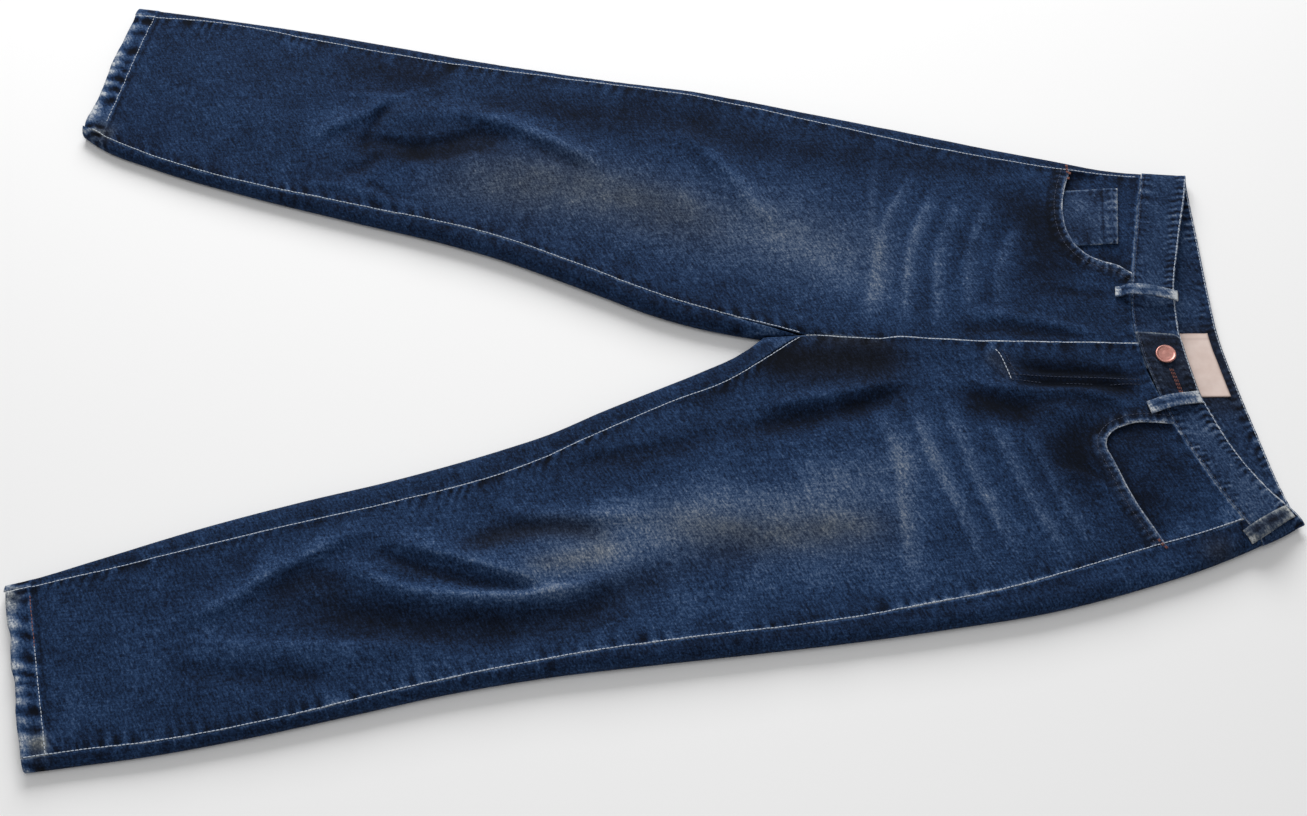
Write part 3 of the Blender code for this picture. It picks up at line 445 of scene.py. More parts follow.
def yoke_seam(y):
    """The V of the yoke: shallow at the sides and deep at the middle of the back."""
    rise = (YOKE_DEPTH_MIDDLE - YOKE_DEPTH_SIDE) * smooth_step(
        abs(y - MIDDLE_Y), 0.0, YOKE_REACH)
    return back_waist_seam(y) - YOKE_DEPTH_MIDDLE + rise


def lengths_along(line):
    """Distance along a line of points in plan to each of them."""
    return np.concatenate([[0], np.cumsum(np.hypot(*np.diff(line, axis=0).T))])


def evenly_along(points, count):
    """Even steps along a smooth curve through a few points."""
    knots = np.array(points, float)
    lengths = lengths_along(knots)
    places = np.linspace(0, lengths[-1], count)
    return np.stack([smooth_curve(list(zip(lengths, knots[:, i])))(places) for i in (0, 1)], 1)


def tangents_of(line):
    """Unit directions along a line of points in plan."""
    tangent = np.gradient(line, axis=0)
    return tangent / np.hypot(*tangent.T)[:, None]


def along_spine(points, left, right, x, y):
    """1 on a curve, falling to 0 over its half widths and towards its ends."""
    spine = evenly_along(points, MARK_STEPS)
    reach = MARK_REACH * max(left, right)
    low, high = spine.min(axis=0) - reach, spine.max(axis=0) + reach
    near = (x > low[0]) & (x < high[0]) & (y > low[1]) & (y < high[1])
    total = np.zeros(np.shape(x))
    if not near.any():
        return total
    px, py = x[near], y[near]
    nearest = np.hypot(px[:, None] - spine[:, 0], py[:, None] - spine[:, 1]).argmin(axis=1)
    tangent = tangents_of(spine)
    offset = np.stack([px, py], axis=1) - spine[nearest]
    across = tangent[nearest, 0] * offset[:, 1] - tangent[nearest, 1] * offset[:, 0]
    before = (tangent[nearest] * offset).sum(axis=1)
    step = np.hypot(*(spine[1] - spine[0]))
    along = (nearest + before / step) / (MARK_STEPS - 1)
    blunt = min(0.25, max(left, right) / (step * (MARK_STEPS - 1)))
    fade = smooth_step(np.minimum(along, 1 - along), -blunt, MARK_END_FADE)
    total[near] = fade * np.exp(-((across / np.where(across > 0, left, right)) ** 2))
    return total


def marks_at(x, y):
    """Height, shade and soiling that the marks give at x, y."""
    total = np.zeros((3, *np.shape(x)))
    for points, left, right, *amounts in MARKS.values():
        share = along_spine(points, left, right, x, y)
        for layer, amount in zip(total, amounts):
            layer += amount * share
    return total


# Form of the two halves

class Half:
    """One half of the garment: its lines in plan and the heights of its cloth."""

    def __init__(self, side, sign, lines, seed):
        self.side, self.sign, self.seed = side, sign, seed
        self.outer, self.outseam, self.inseam, self.inner = (
            smooth_curve(lines[name]) for name in ("outer", "outseam", "inseam", "inner"))
        self.hem_outer, self.hem_inner = lines["outseam"][0][0], lines["inseam"][0][0]
        self.hem_ys = self.outer(self.hem_outer), self.inner(self.hem_inner)

    def hem(self, y):
        """x of the hem from y."""
        start, end = self.hem_ys
        share = np.clip((start - y) / (start - end), 0.0, 1.0)
        return self.hem_outer + (self.hem_inner - self.hem_outer) * share

    def inner_limit(self, x):
        return np.where(x < CROTCH_X, self.inner(x), centre_front(x))

    def rise(self, x, y):
        """0 at the rounded edges and 1 clear of them."""
        from_outer = np.clip(self.sign * (self.outer(x) - y) / EDGE_REACH, 0.0, 1.0)
        from_inner = np.clip(self.sign * (y - self.inner_limit(x)) / EDGE_REACH, 0.0, 1.0)
        valley = 1.0 - smooth_step(x, CROTCH_X, CROTCH_X + VALLEY_FADE)
        outer_rise = np.sqrt(1.0 - (1.0 - from_outer) ** 2)
        inner_rise = 1.0 - valley * (1.0 - np.sqrt(1.0 - (1.0 - from_inner) ** 2))
        return outer_rise * inner_rise

    def crown(self, x, y):
        width = abs(self.outer(x) - self.inner_limit(x))
        across = np.clip(self.sign * (self.outer(x) - y) / width, 0.0, 1.0)
        valley = 1.0 - smooth_step(x, CROTCH_X - VALLEY_FADE, CROTCH_X + VALLEY_FADE)
        over_leg, over_seat = np.sin(np.pi * across), np.sin(0.5 * np.pi * across)
        return crown_height(x) * (valley * over_leg + (1.0 - valley) * over_seat)

    def top(self, x, y):
        """Height of the outer side of the cloth on top."""
        x, y = np.broadcast_arrays(np.asarray(x, float), np.asarray(y, float))
        side = edge_height(x) / 2 + EDGE_FLAT
        small = 0.6 * cloud(x, y, 34, 5) + 0.35 * cloud(x, y, 17, 8)
        full = edge_height(x) + self.crown(x, y) + marks_at(x, y)[0] + small
        return side + (full - side) * self.rise(x, y)

    def bottom(self, x, y):
        """Height of the outer side of the cloth underneath."""
        side, rise = edge_height(x) / 2 - EDGE_FLAT, self.rise(x, y)
        return side * (1.0 - rise) + SEAT_RAISE * smooth_step(x, *SEAT_RAISE_X) * rise

    def inner_seam(self, x):
        """The inseam up to the cross of the seams, then the centre front, which laps."""
        lap = self.sign * FLY_LAP * smooth_step(x, *FLY_LAP_X)
        return np.where(x < CROSS_X, self.inseam(x), centre_front(x) - lap)

    def fly_lift(self, x, y):
        """The left front is raised where it laps over the right front."""
        if self.sign > 0:
            return 0.0
        near = 1.0 - smooth_step(centre_front(x) - y, *FLY_LIFT_REACH)
        return FLY_LIFT * near * smooth_step(x, *FLY_LIFT_X)

    def pucker(self, run, away, seed, period=12.0, reach=9.0):
        """Short ridges square to a seam: run is along it and away is the distance from it."""
        run = run + 0.3 * away
        strength = 0.6 + 0.4 * ripple(run / 47.0, self.seed + seed)
        reach = reach * (1.0 + 0.45 * ripple(run / 17.0, self.seed + seed + 2))
        waves = np.sin(2 * np.pi * (run / period + 1.1 * ripple(run / 29.0, self.seed + seed + 1)))
        notches = np.maximum(-waves, 0.0) ** 2
        fine = ripple(run / (0.4 * period), self.seed + seed + 3)
        return strength * (0.6 * waves - 0.5 * notches + 0.45 * fine) * np.exp(
            -(away / reach) ** 2) * smooth_step(away, 0.0, 1.5)

    def front_seams(self, x, y):
        """Distance to the outseam, the inner seam, the hem and the waist seam."""
        return (self.sign * (self.outseam(x) - y), self.sign * (y - self.inner_seam(x)),
                x - self.hem(y), front_waist_seam(y) - x)

    def mouth_ladder(self, run, mouth):
        """Short ridges across the hem of a pocket mouth, from -1 to 1."""
        across = smooth_step(mouth, -12.5, -10.5) * (1 - smooth_step(mouth, -3.0, -1.0))
        return across * (0.8 * np.sin(2 * np.pi * (run / 7.2 + 0.4 * ripple(run / 17, self.seed)))
                         + 0.4 * ripple(run / 3.0, self.seed + 2))

    def front(self, x, y):
        """Height of the outer side of a front with its puckers and hem."""
        outseam, inner, hem, waist = (np.maximum(d, 0.0) for d in self.front_seams(x, y))
        height = self.top(x, y) + self.fly_lift(x, y)
        puckers = (self.pucker(x, outseam, 1) + self.pucker(x, inner, 2)
                   + 0.8 * self.pucker(y, waist, 3, 9.0)
                   + 0.9 * self.pucker(y, np.abs(hem - HEM_DEPTH), 4, 15.0, 7.0))
        edge = self.rise(x, y)
        mouth = outside_mouth(self.side, x, y)
        rim = 0.5 * smooth_step(mouth, -12.0, -10.5) + 0.6 * self.mouth_ladder(
            mouth_run(self.side, x, y), mouth)
        return height + edge * (0.65 * puckers + hem_form(self, y, hem) + np.where(
            mouth > -30, rim, 0.0))


def hem_ropes(half, run, away):
    """Waves across a hem, a little slanted, from -1 to 1."""
    run = run + 0.2 * away + 2.0 * ripple(away / 7.0 + run / 31.0, half.seed + 8)
    waves = np.sin(2 * np.pi * (run / 14.0 + 0.8 * ripple(run / 27.0, half.seed + 9)))
    return 0.7 * waves + 0.45 * ripple(run / 5.0, half.seed + 10)


def hem_form(half, run, away):
    """The turned-up hem: a second layer that twists into short ropes."""
    layer = HEM_RISE * (1 - smooth_step(away, HEM_DEPTH - 1.5, HEM_DEPTH))
    return layer * (1.0 + 0.8 * hem_ropes(half, run, away) * smooth_step(away, 0, 4))


RIGHT = Half("right", 1, RIGHT_LINES, 11.0)
LEFT = Half("left", -1, LEFT_LINES, 47.0)
HALVES = (RIGHT, LEFT)


def seat_top(x, y):
    """Height of the cloth on top of the seat, on either half."""
    return np.where(np.asarray(y) > MIDDLE_Y, RIGHT.top(x, y), LEFT.top(x, y))


def crossing(x_from_y, y_from_x, count):
    """Where lines across the garment meet a line along it."""
    x = np.full(count, CROTCH_X)
    for _ in range(10):
        x = x_from_y(y_from_x(x))
    return x, y_from_x(x)


def mouth_line(side, beyond, steps):
    """Points along a pocket mouth, moved by beyond to under the front, and the way in."""
    curve = evenly_along(MOUTHS[side], steps)
    tangent = tangents_of(curve)
    inward = np.stack([tangent[:, 1], -tangent[:, 0]], axis=1)
    corner = np.array(MOUTH_CORNERS[side])
    if np.dot(inward[steps // 2], corner - curve[steps // 2]) > 0:
        inward = -inward
    return curve + inward * beyond, inward


MOUTH_LINES = {side: mouth_line(side, 0.0, MOUTH_STEPS) for side in MOUTHS}


def nearest_on_mouth(side, x, y):
    """The points asked for, and number, place and way in of the nearest on the mouth."""
    curve, inward = MOUTH_LINES[side]
    points = np.stack([np.ravel(x), np.ravel(y)], axis=1).astype(float)
    nearest = np.hypot(points[:, :1] - curve[:, 0], points[:, 1:] - curve[:, 1]).argmin(axis=1)
    return points, nearest, curve[nearest], inward[nearest]


def mouth_run(side, x, y):
    """Distance along a pocket mouth to the point nearest to x, y."""
    curve = MOUTH_LINES[side][0]
    x, y = np.broadcast_arrays(np.asarray(x, float), np.asarray(y, float))
    result = np.zeros(x.shape)
    close = (x > MOUTH_RUN_X[0]) & (x < MOUTH_RUN_X[1])
    if close.any():
        points, nearest, near, _ = nearest_on_mouth(side, x[close], y[close])
        tangent = np.gradient(curve, axis=0)[nearest]
        step = np.hypot(*tangent.T)
        result[close] = nearest * step + ((points - near) * tangent).sum(axis=1) / step
    return result


def outside_mouth(side, x, y):
    """Distance from a pocket mouth towards the corner; below 0 under the front."""
    x, y = np.broadcast_arrays(np.asarray(x, float), np.asarray(y, float))
    result = np.full(x.shape, FAR_UNDER)
    close = (x > MOUTH_NEAR_X[0]) & (x < MOUTH_NEAR_X[1])
    if close.any():
        points, _, near, inward = nearest_on_mouth(side, x[close], y[close])
        away = points - near
        side_of = (away * inward).sum(axis=1) > 0
        result[close] = np.where(side_of, -1.0, 1.0) * np.hypot(*away.T)
    return result


# Meshes

def hexed(code):
    """A colour from its sRGB hex code, as linear red, green, blue and alpha."""
    values = [int(code[i:i + 2], 16) / 255 for i in (1, 3, 5)]
    return (*[v / 12.92 if v <= 0.04045 else ((v + 0.055) / 1.055) ** 2.4 for v in values], 1.0)


def grid_normals(grid):
    """Unit normals of a grid of points, rows by columns."""
    along_rows = np.gradient(grid, axis=0)
    along_columns = np.gradient(grid, axis=1)
    normals = np.cross(along_rows, along_columns)
    length = np.linalg.norm(normals, axis=2, keepdims=True)
    return normals / np.maximum(length, 1e-9)


def points_at(x, y, z):
    return np.stack(np.broadcast_arrays(x, y, z), axis=-1)


def placed(name, data):
    """A new object of the scene, at the origin."""
    made = bpy.data.objects.new(name, data)
    bpy.context.scene.collection.objects.link(made)
    return made


def cloth_mesh(name, grid, flip, layers, keep=None):
    """A mesh through a grid of points in millimetres, with its layers as attributes."""
    rows, columns = grid.shape[:2]
    index = np.arange(rows * columns).reshape(rows, columns)
    quads = np.stack([index[:-1, :-1], index[1:, :-1], index[1:, 1:], index[:-1, 1:]], axis=2)
    quads = quads.reshape(-1, 4)
    if keep is not None:
        quads = quads[keep.reshape(-1)]
    if flip:
        quads = quads[:, ::-1]
    used, faces = np.unique(quads, return_inverse=True)
    points = (grid.reshape(-1, 3)[used] - MIDDLE) * MM
    mesh = bpy.data.meshes.new(name)
    mesh.from_pydata(points.tolist(), [], faces.reshape(-1, 4).tolist())
    for layer, values in layers.items():
        attribute = mesh.attributes.new(layer, "FLOAT", "POINT")
        attribute.data.foreach_set("value", np.ascontiguousarray(
            np.broadcast_to(values, (rows, columns)).reshape(-1)[used], dtype=np.float32))
    mesh.shade_smooth()
    return mesh


def cloth_piece(node, grid, flip, wall, finish, layers, keep=None):
    """A piece of cloth that stands for a node: a shell with a wall below its grid."""
    mesh = cloth_mesh(f"{node}_cloth", grid, flip, layers, keep)
    piece = placed(f"{node}_cloth", mesh)
    mesh.materials.append(finish)
    thicken = piece.modifiers.new("wall", "SOLIDIFY")
    thicken.thickness = wall * MM
    thicken.offset = -1.0
    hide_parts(node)
    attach(piece, "root")
    return piece


def wear_and_painted_light_of(x, y, half):
    """Shade and soiling of a front from its marks and some unevenness."""
    # the marks give wear, fades and soiling, and painted light and shade on the creases
    _, shade, soil = marks_at(x, y)
    uneven = 0.03 * cloud(x, y, 60, half.seed) + 0.03 * cloud(x, y, 21, half.seed + 1)
    # painted shade: the right half is a little darker than the left, the left a little paler
    return 0.262 - 0.008 * half.sign + shade + uneven, soil


def seam_wear(half, run, away, seed, strength=1.0, period=12.0):
    """Pale ridges and dark hollows beside a seam, and its rubbed edge."""
    away = np.maximum(away, 0.0)
    marks = half.pucker(run, away, seed, period)
    rubbed = 0.34 + 0.20 * ripple(run / 8.0, half.seed + seed + 7)
    return strength * (0.23 * marks + rubbed * bump(away, 1.3) - 0.05 * bump(away - 4, 4))


def hem_wear(half, run, away):
    """The outer edge of a hem is worn pale in blots between its ropes."""
    ropes = hem_ropes(half, run, away)
    patchy = 0.5 + 0.5 * ripple(run / 24.0, half.seed + 12)
    edge = bump(away, 8.0) * (0.28 + 0.24 * patchy + 0.24 * ropes)
    inside = smooth_step(away, 0, 4) * (1 - smooth_step(away, HEM_DEPTH - 3, HEM_DEPTH))
    notches = bump(away - HEM_DEPTH + 6, 4.5) * np.minimum(ropes, 0.0)
    return (edge + 0.15 * ropes * inside + 0.30 * notches + 0.22 * bump(
        away - HEM_DEPTH + 1.5, 1.6) - 0.14 * bump(away - HEM_DEPTH - 2.0, 1.8))


def spaced(width, step, fine_start=0.0, fine_end=0.0, fine=1.2):
    """Shares across a width, closer together near its ends."""
    coarse = np.linspace(0, width, max(2, int(round(width / step)) + 1))
    coarse = coarse[(coarse >= fine_start) & (coarse <= width - fine_end)]
    low, high = np.arange(0, fine_start, fine), width - np.arange(0, fine_end, fine)
    return np.concatenate([low, coarse, high[::-1]]) / width


# Materials

def add(tree, kind, inputs=None, **settings):
    """A node with its settings. An input takes a value, a hex colour or another's output."""
    node = tree.nodes.new(kind)
    for key, value in settings.items():
        setattr(node, key, value)
    for key, value in (inputs or {}).items():
        if isinstance(value, bpy.types.NodeSocket):
            tree.links.new(value, node.inputs[key])
        else:
            node.inputs[key].default_value = hexed(value) if isinstance(value, str) else value
    return node


def new_material(name, **sockets):
    """A material with a Principled shader and its constants."""
    made = bpy.data.materials.new(name)
    made.use_nodes = True
    shader = made.node_tree.nodes["Principled BSDF"]
    for key, value in sockets.items():
        shader.inputs[key.replace("_", " ")].default_value = value
    return made, made.node_tree, shader


def worn_indigo_denim_painted_light_shade(name="worn_indigo_denim_painted_light_shade"):
    """Indigo denim, woven as a twill and washed. The dye lies on the outside of the warp, so
    the cloth pales through blue to grey-white where it rubs, and keeps a fine broken grain.
    """
    made, tree, shader = new_material(name, Roughness=0.92, Specular_IOR_Level=0.12)
    place = add(tree, "ShaderNodeTexCoord").outputs["Object"]
    # the shade layer carries wear and fades, and painted light and shade on the creases
    shade, soil = (add(tree, "ShaderNodeAttribute", attribute_name=layer).outputs["Fac"]
                   for layer in ("shade", "soil"))
    # Threads are 0.5 mm apart, all drawn coarser so that they show: a grain of 1.8 mm, slanted
    # twill streaks of 1.6 by 6 mm and thick warp threads of 25 by 1.6 mm along the leg.
    # Columns: size in metres, turn, detail, roughness, amount
    noise = -0.975
    for size, turn, detail, roughness, amount in (
            ((0.0018, 0.0018, 0.0018), 0.0, 3.0, 0.8, 1.0),
            ((0.0016, 0.0060, 0.0030), 0.5, 2.0, 0.6, 0.7),
            ((0.0250, 0.0016, 0.0030), 0.1, 2.0, 0.5, 0.25)):
        laid = add(tree, "ShaderNodeMapping", {
            "Vector": place, "Scale": size, "Rotation": (0.0, 0.0, turn)}, vector_type="TEXTURE")
        threads = add(tree, "ShaderNodeTexNoise", {
            "Vector": laid.outputs[0], "Scale": 1.0, "Detail": detail, "Roughness": roughness})
        noise = add(tree, "ShaderNodeMath", {0: threads.outputs["Fac"], 1: amount, 2: noise},
                    operation="MULTIPLY_ADD").outputs[0]
    # uneven dye, in patches of 18 mm
    mottle = add(tree, "ShaderNodeTexNoise", {
        "Vector": place, "Scale": 55.0, "Detail": 4.0, "Roughness": 0.65}).outputs["Fac"]
    uneven = add(tree, "ShaderNodeMath", {0: mottle, 1: 0.20, 2: -0.10}, operation="MULTIPLY_ADD")
    # the grain shows more where the cloth is pale
    strength = add(tree, "ShaderNodeMath", {0: shade, 1: 0.8, 2: 0.5}, operation="MULTIPLY_ADD")
    level = add(tree, "ShaderNodeMath", {0: noise, 1: strength.outputs[0], 2: shade},
                operation="MULTIPLY_ADD")
    level = add(tree, "ShaderNodeMath", {0: level.outputs[0], 1: uneven.outputs[0]},
                operation="ADD")
    clean, soiled = (add(tree, "ShaderNodeValToRGB", {"Fac": level.outputs[0]}) for _ in range(2))
    for ramp, stops in (
            (clean, ((0.0, "#040914"), (0.15, "#0b172b"), (0.30, "#192d4b"), (0.42, "#294164"),
                     (0.55, "#485c7a"), (0.72, "#737f92"), (1.0, "#c1c6cb"))),
            (soiled, ((0.0, "#0b0d13"), (0.3, "#232834"), (0.5, "#444a51"), (0.72, "#6c6e6d"),
                      (1.0, "#a5a7a6")))):
        elements = ramp.color_ramp.elements
        elements[0].color, elements[1].color = hexed(stops[0][1]), hexed(stops[-1][1])
        for position, code in stops[1:-1]:
            elements.new(position).color = hexed(code)
    patchy = add(tree, "ShaderNodeMath", {0: mottle, 1: 0.6, 2: 0.6}, operation="MULTIPLY_ADD")
    amount = add(tree, "ShaderNodeMath", {0: soil, 1: patchy.outputs[0]},
                 operation="MULTIPLY", use_clamp=True)
    colour = add(tree, "ShaderNodeMix", {
        0: amount.outputs[0], 6: clean.outputs[0], 7: soiled.outputs[0]}, data_type="RGBA")
    relief = add(tree, "ShaderNodeBump", {"Height": noise, "Strength": 0.4, "Distance": 0.0005})
    tree.links.new(colour.outputs[2], shader.inputs["Base Color"])
    tree.links.new(relief.outputs[0], shader.inputs["Normal"])
    return made


def speckled(name, scale, first, second, bumps, **sockets):
    """A material whose colour wanders between two, in specks of 1 / scale metres."""
    made, tree, shader = new_material(name, **sockets)
    place = add(tree, "ShaderNodeTexCoord").outputs["Object"]
    specks = add(tree, "ShaderNodeTexNoise", {
        "Vector": place, "Scale": scale, "Detail": 3.0}).outputs["Fac"]
    colour = add(tree, "ShaderNodeMix", {0: specks, 6: first, 7: second}, data_type="RGBA")
    relief = add(tree, "ShaderNodeBump", {"Height": specks, "Strength": bumps,
                                          "Distance": 0.0003})
    tree.links.new(colour.outputs[2], shader.inputs["Base Color"])
    tree.links.new(relief.outputs[0], shader.inputs["Normal"])
    return made, tree, shader, colour.outputs[2]


def sewing_thread(name, code, worn):
    """Core-spun polyester-cotton thread: twisted, matt, and speckled with a paler worn colour."""
    return speckled(name, 160.0, code, worn, 0.1, Roughness=0.75, Specular_IOR_Level=0.3)[0]


def brushed_copper_button(name="copper_plated_brass"):
    """Copper-plated brass, tumbled matt, speckled with brighter rubbed copper."""
    return speckled(name, 420.0, "#a8665f", "#dba79c", 0.25, Roughness=0.42, Metallic=0.75)[0]


def woven_label_cotton(name="woven_label_cotton"):
    """Plain woven cotton tape, dull pink-beige, with dirt at its edges and painted shade along its fold.
    """
    made, tree, shader, cloth = speckled(
        name, 90.0, "#e6d6cf", "#c9b2a8", 0.4, Roughness=0.9, Specular_IOR_Level=0.2)
    shade = add(tree, "ShaderNodeAttribute", attribute_name="shade").outputs["Fac"]
    dirt_and_painted_fold_shade = add(tree, "ShaderNodeMix", {0: shade, 6: "#6d5750", 7: cloth}, data_type="RGBA")
    tree.links.new(dirt_and_painted_fold_shade.outputs[2], shader.inputs["Base Color"])
    return made


def material_once(maker, **settings):
    """The material that a maker gives, made once."""
    name = settings.get("name") or maker.__defaults__[0]
    return bpy.data.materials.get(name) or maker(**settings)


# Settings

class JeansSizes(bpy.types.PropertyGroup):
    cloth: FloatProperty(
        name="Denim", description="Thickness of the denim", default=0.0012, min=0.0005,
        unit="LENGTH")
    row_step: FloatProperty(
        name="Row step", description="Distance between rows of the cloth meshes",
        default=0.0026, min=0.002, unit="LENGTH")
    column_step: FloatProperty(
        name="Column step", description="Distance between columns of the cloth meshes",
        default=0.0028, min=0.002, unit="LENGTH")
    stitch_pitch: FloatProperty(
        name="Stitch pitch", description="Distance from stitch to stitch", default=0.0033,
        unit="LENGTH")
    thread: FloatProperty(
        name="Thread", description="Thickness of the topstitching thread", default=0.0007,
        unit="LENGTH")


class JeansStage(bpy.types.PropertyGroup):
    camera_height: FloatProperty(
        name="Camera height", description="Height of the camera over the floor",
        default=1.4842, unit="LENGTH")
    camera_back: FloatProperty(
        name="Camera distance", description="From the camera to the middle, along the floor",
        default=0.9119, unit="LENGTH")
    camera_side: FloatProperty(
        name="Camera side shift", description="From the middle towards the waist",
        default=-0.0042, unit="LENGTH")
    pitch: FloatProperty(
        name="Pitch", description="How far the camera looks down from the horizon",
        default=np.radians(60.0), subtype="ANGLE")
    focal: FloatProperty(
        name="Focal length", description="In millimetres on a 36 mm wide sensor",
        default=55.09)
    key: FloatProperty(
        name="Key light", description="Power of the softbox at the far side, in watts",
        default=86.0)
    fill: FloatProperty(
        name="Fill light", description="Power of the light overhead, in watts",
        default=11.0)
    surround: FloatProperty(
        name="Surround", description="Strength of the white surround", default=0.29)
    floor: FloatVectorProperty(
        name="Floor", description="Colour of the floor", subtype="COLOR", size=3,
        default=hexed("#f4f4f4")[:3], min=0.0, max=1.0)


# Pieces

class JEANS_OT_stage(bpy.types.Operator):
    """Make the floor, the camera and the studio light"""
    bl_idname = "jeans.stage"
    bl_label = "Stage"

    def execute(self, context):
        settings = context.scene.jeans_stage
        bm = bmesh.new()
        bmesh.ops.create_grid(bm, x_segments=1, y_segments=1, size=FLOOR_REACH)
        bmesh.ops.translate(bm, verts=bm.verts, vec=(0.0, 0.0, FLOOR_Z))
        mesh = bpy.data.meshes.new("floor")
        bm.to_mesh(mesh)
        bm.free()
        floor = placed("floor", mesh)
        paper = new_material("matt_paper_sweep", Roughness=0.95, Specular_IOR_Level=0.1,
                             Base_Color=(*settings.floor, 1.0))[0]
        mesh.materials.append(paper)
        camera = bpy.data.cameras.new("camera")
        camera.lens, camera.sensor_width = settings.focal, SENSOR_WIDTH
        viewer = placed("camera", camera)
        viewer.location = (settings.camera_side, -settings.camera_back, settings.camera_height)
        viewer.rotation_euler = (np.radians(90.0) - settings.pitch, 0.0, 0.0)
        context.scene.camera = viewer
        for name, place, size, power in (
                ("far_softbox", (-0.3, 2.4, 1.6), 1.8, settings.key),
                ("overhead_fill", (0.0, -0.6, 2.0), 1.4, settings.fill)):
            lamp = bpy.data.lights.new(name, "AREA")
            lamp.size, lamp.energy = size, power
            source = placed(name, lamp)
            source.location = place
            source.rotation_euler = (-Vector(place)).to_track_quat("-Z", "Y").to_euler()
        world = bpy.data.worlds.new("studio")
        world.use_nodes = True
        world.node_tree.nodes["Background"].inputs["Color"].default_value = (1, 1, 1, 1)
        world.node_tree.nodes["Background"].inputs["Strength"].default_value = settings.surround
        context.scene.world = world
        context.scene.view_settings.view_transform = "Standard"
        return {"FINISHED"}


def front_grid(half, row_step, column_step):
    """Plan and height of a front: rows from the hem to the waist seam."""
    sign = half.sign
    shares = spaced(FRONT_WIDTH, column_step, 12, 12)

    def y_at(share):
        def at(x):
            start = half.outseam(x) - sign * SEAM_GAP / 2
            return start + (half.inner_seam(x) + sign * SEAM_GAP / 2 - start) * share
        return at
    rows = int(round(FRONT_LENGTH / row_step))
    parts = np.linspace(0, 1, rows + 1)
    grid = np.zeros((rows + 1, len(shares), 3))
    for j, share in enumerate(shares):
        hem, hem_y = crossing(half.hem, y_at(share), 1)
        waist, _ = crossing(lambda y: front_waist_seam(y) - WAIST_GAP, y_at(share), 1)
        wave = 1.1 * ripple(hem_y / 13.0, half.seed + 20)
        x = hem + wave * (1 - smooth_step(parts * FRONT_LENGTH, 0, 16)) + (waist - hem) * parts
        grid[:, j, 0], grid[:, j, 1] = x, y_at(share)(x)
    return grid


class JEANS_OT_fronts(bpy.types.Operator):
    """Make the right and left front"""
    bl_idname = "jeans.fronts"
    bl_label = "Fronts"

    def execute(self, context):
        sizes = context.scene.jeans_sizes
        denim = material_once(worn_indigo_denim_painted_light_shade)
        for half in HALVES:
            grid = front_grid(half, sizes.row_step / MM, sizes.column_step / MM)
            mouth = outside_mouth(half.side, grid[..., 0], grid[..., 1])
            outside = mouth > 0
            keep = ~(outside[:-1, :-1] & outside[1:, :-1] & outside[1:, 1:] & outside[:-1, 1:])
            near = nearest_on_mouth(half.side, grid[..., 0], grid[..., 1])[2]
            snap = outside & (mouth < 8.0)
            grid[..., :2][snap] = near.reshape(*grid.shape[:2], 2)[snap]
            x, y = grid[..., 0], grid[..., 1]
            grid[..., 2] = half.front(x, y)
            shade, soil = wear_and_painted_light_of(x, y, half)
            outseam, inner, hem, waist = half.front_seams(x, y)
            mouth = outside_mouth(half.side, x, y)
            shade += seam_wear(half, x, outseam, 1) + seam_wear(half, x, inner, 2)
            shade += seam_wear(half, y, waist, 3, 0.8, 9.0) + hem_wear(half, y, hem)
            ladder = half.mouth_ladder(mouth_run(half.side, x, y), mouth)
            shade += (0.20 * ladder + 0.58 * bump(mouth + 0.5, 1.6) - 0.05 * bump(mouth + 7, 3.5)
                      - 0.12 * bump(mouth + 13, 2.0))
            soil += 0.5 * bump(mouth + 7, 4)
            shade += 0.22 * bump(inner, 1.2) * smooth_step(x, 180, 215)
            cloth_piece(f"front_{half.side}", grid, half.sign > 0, sizes.cloth / MM, denim,
                        {"shade": shade, "soil": soil}, keep=keep)
        return {"FINISHED"}


def round_back(half, x_on_top, x_below, count, closed):
    """The cloth of a back: from the outseam out and round the outer edge, along the underside
    and, when closed, round the inner edge up to the inseam. Each column gives x, y, z, the
    distance from the nearest seam on top and whether it lies underneath.
    """
    sign = half.sign
    turn = 1 - np.cos(0.5 * np.pi * np.linspace(0, 1, 7))
    columns = []

    def column(x_from_y, y_at, height, away, below):
        x, y = crossing(x_from_y, y_at, count)
        columns.append((x, y, height(x, y), np.broadcast_to(away(x, y), x.shape), below))

    def from_outseam(x, y):
        return sign * (y - half.outseam(x))

    for share in (1 - spaced(SIDE_STRIP, 1.6)):
        column(x_on_top, lambda x: half.outer(x) + (
            half.outseam(x) + sign * SEAM_GAP / 2 - half.outer(x)) * share,
            half.top, from_outseam, 0)
    for share in turn:
        column(x_below, lambda x: half.outer(x) - sign * EDGE_REACH * share, half.bottom,
               lambda x, y: from_outseam(x, half.outer(x)) + 8 + EDGE_REACH * share, 1)
    for share in np.linspace(0, 1, UNDER_COLUMNS)[1:-1]:
        column(x_below, lambda x: (half.outer(x) - sign * EDGE_REACH) * (1 - share) + (
            half.inner_limit(x) + sign * EDGE_REACH) * share, half.bottom,
            lambda x, y: 99.0, 1)
    for share in turn[::-1]:
        column(x_below, lambda x: half.inner_limit(x) + sign * (
            SEAM_GAP / 2 + EDGE_REACH * share), half.bottom, lambda x, y: 40.0, 1)
    if closed:
        x = columns[-1][0]
        inner = half.inner_limit(x) + sign * SEAM_GAP / 2
        reach = (CROSS_X - CROTCH_X) * smooth_step(x, TIP_START_X, CROTCH_X)
        seam = half.inseam(x + reach) - sign * (SEAM_GAP / 2 + TIP_GAP * reach)
        seam = np.where(x >= CROTCH_X - 0.01, centre_front(x + reach) + sign * SEAM_GAP / 2, seam)
        for share in spaced(SIDE_STRIP, 1.5):
            place, y = x + reach * share, inner + (seam - inner) * share
            columns.append((place, y, half.top(place, y), abs(seam - inner) * (1 - share), 0))
    return columns


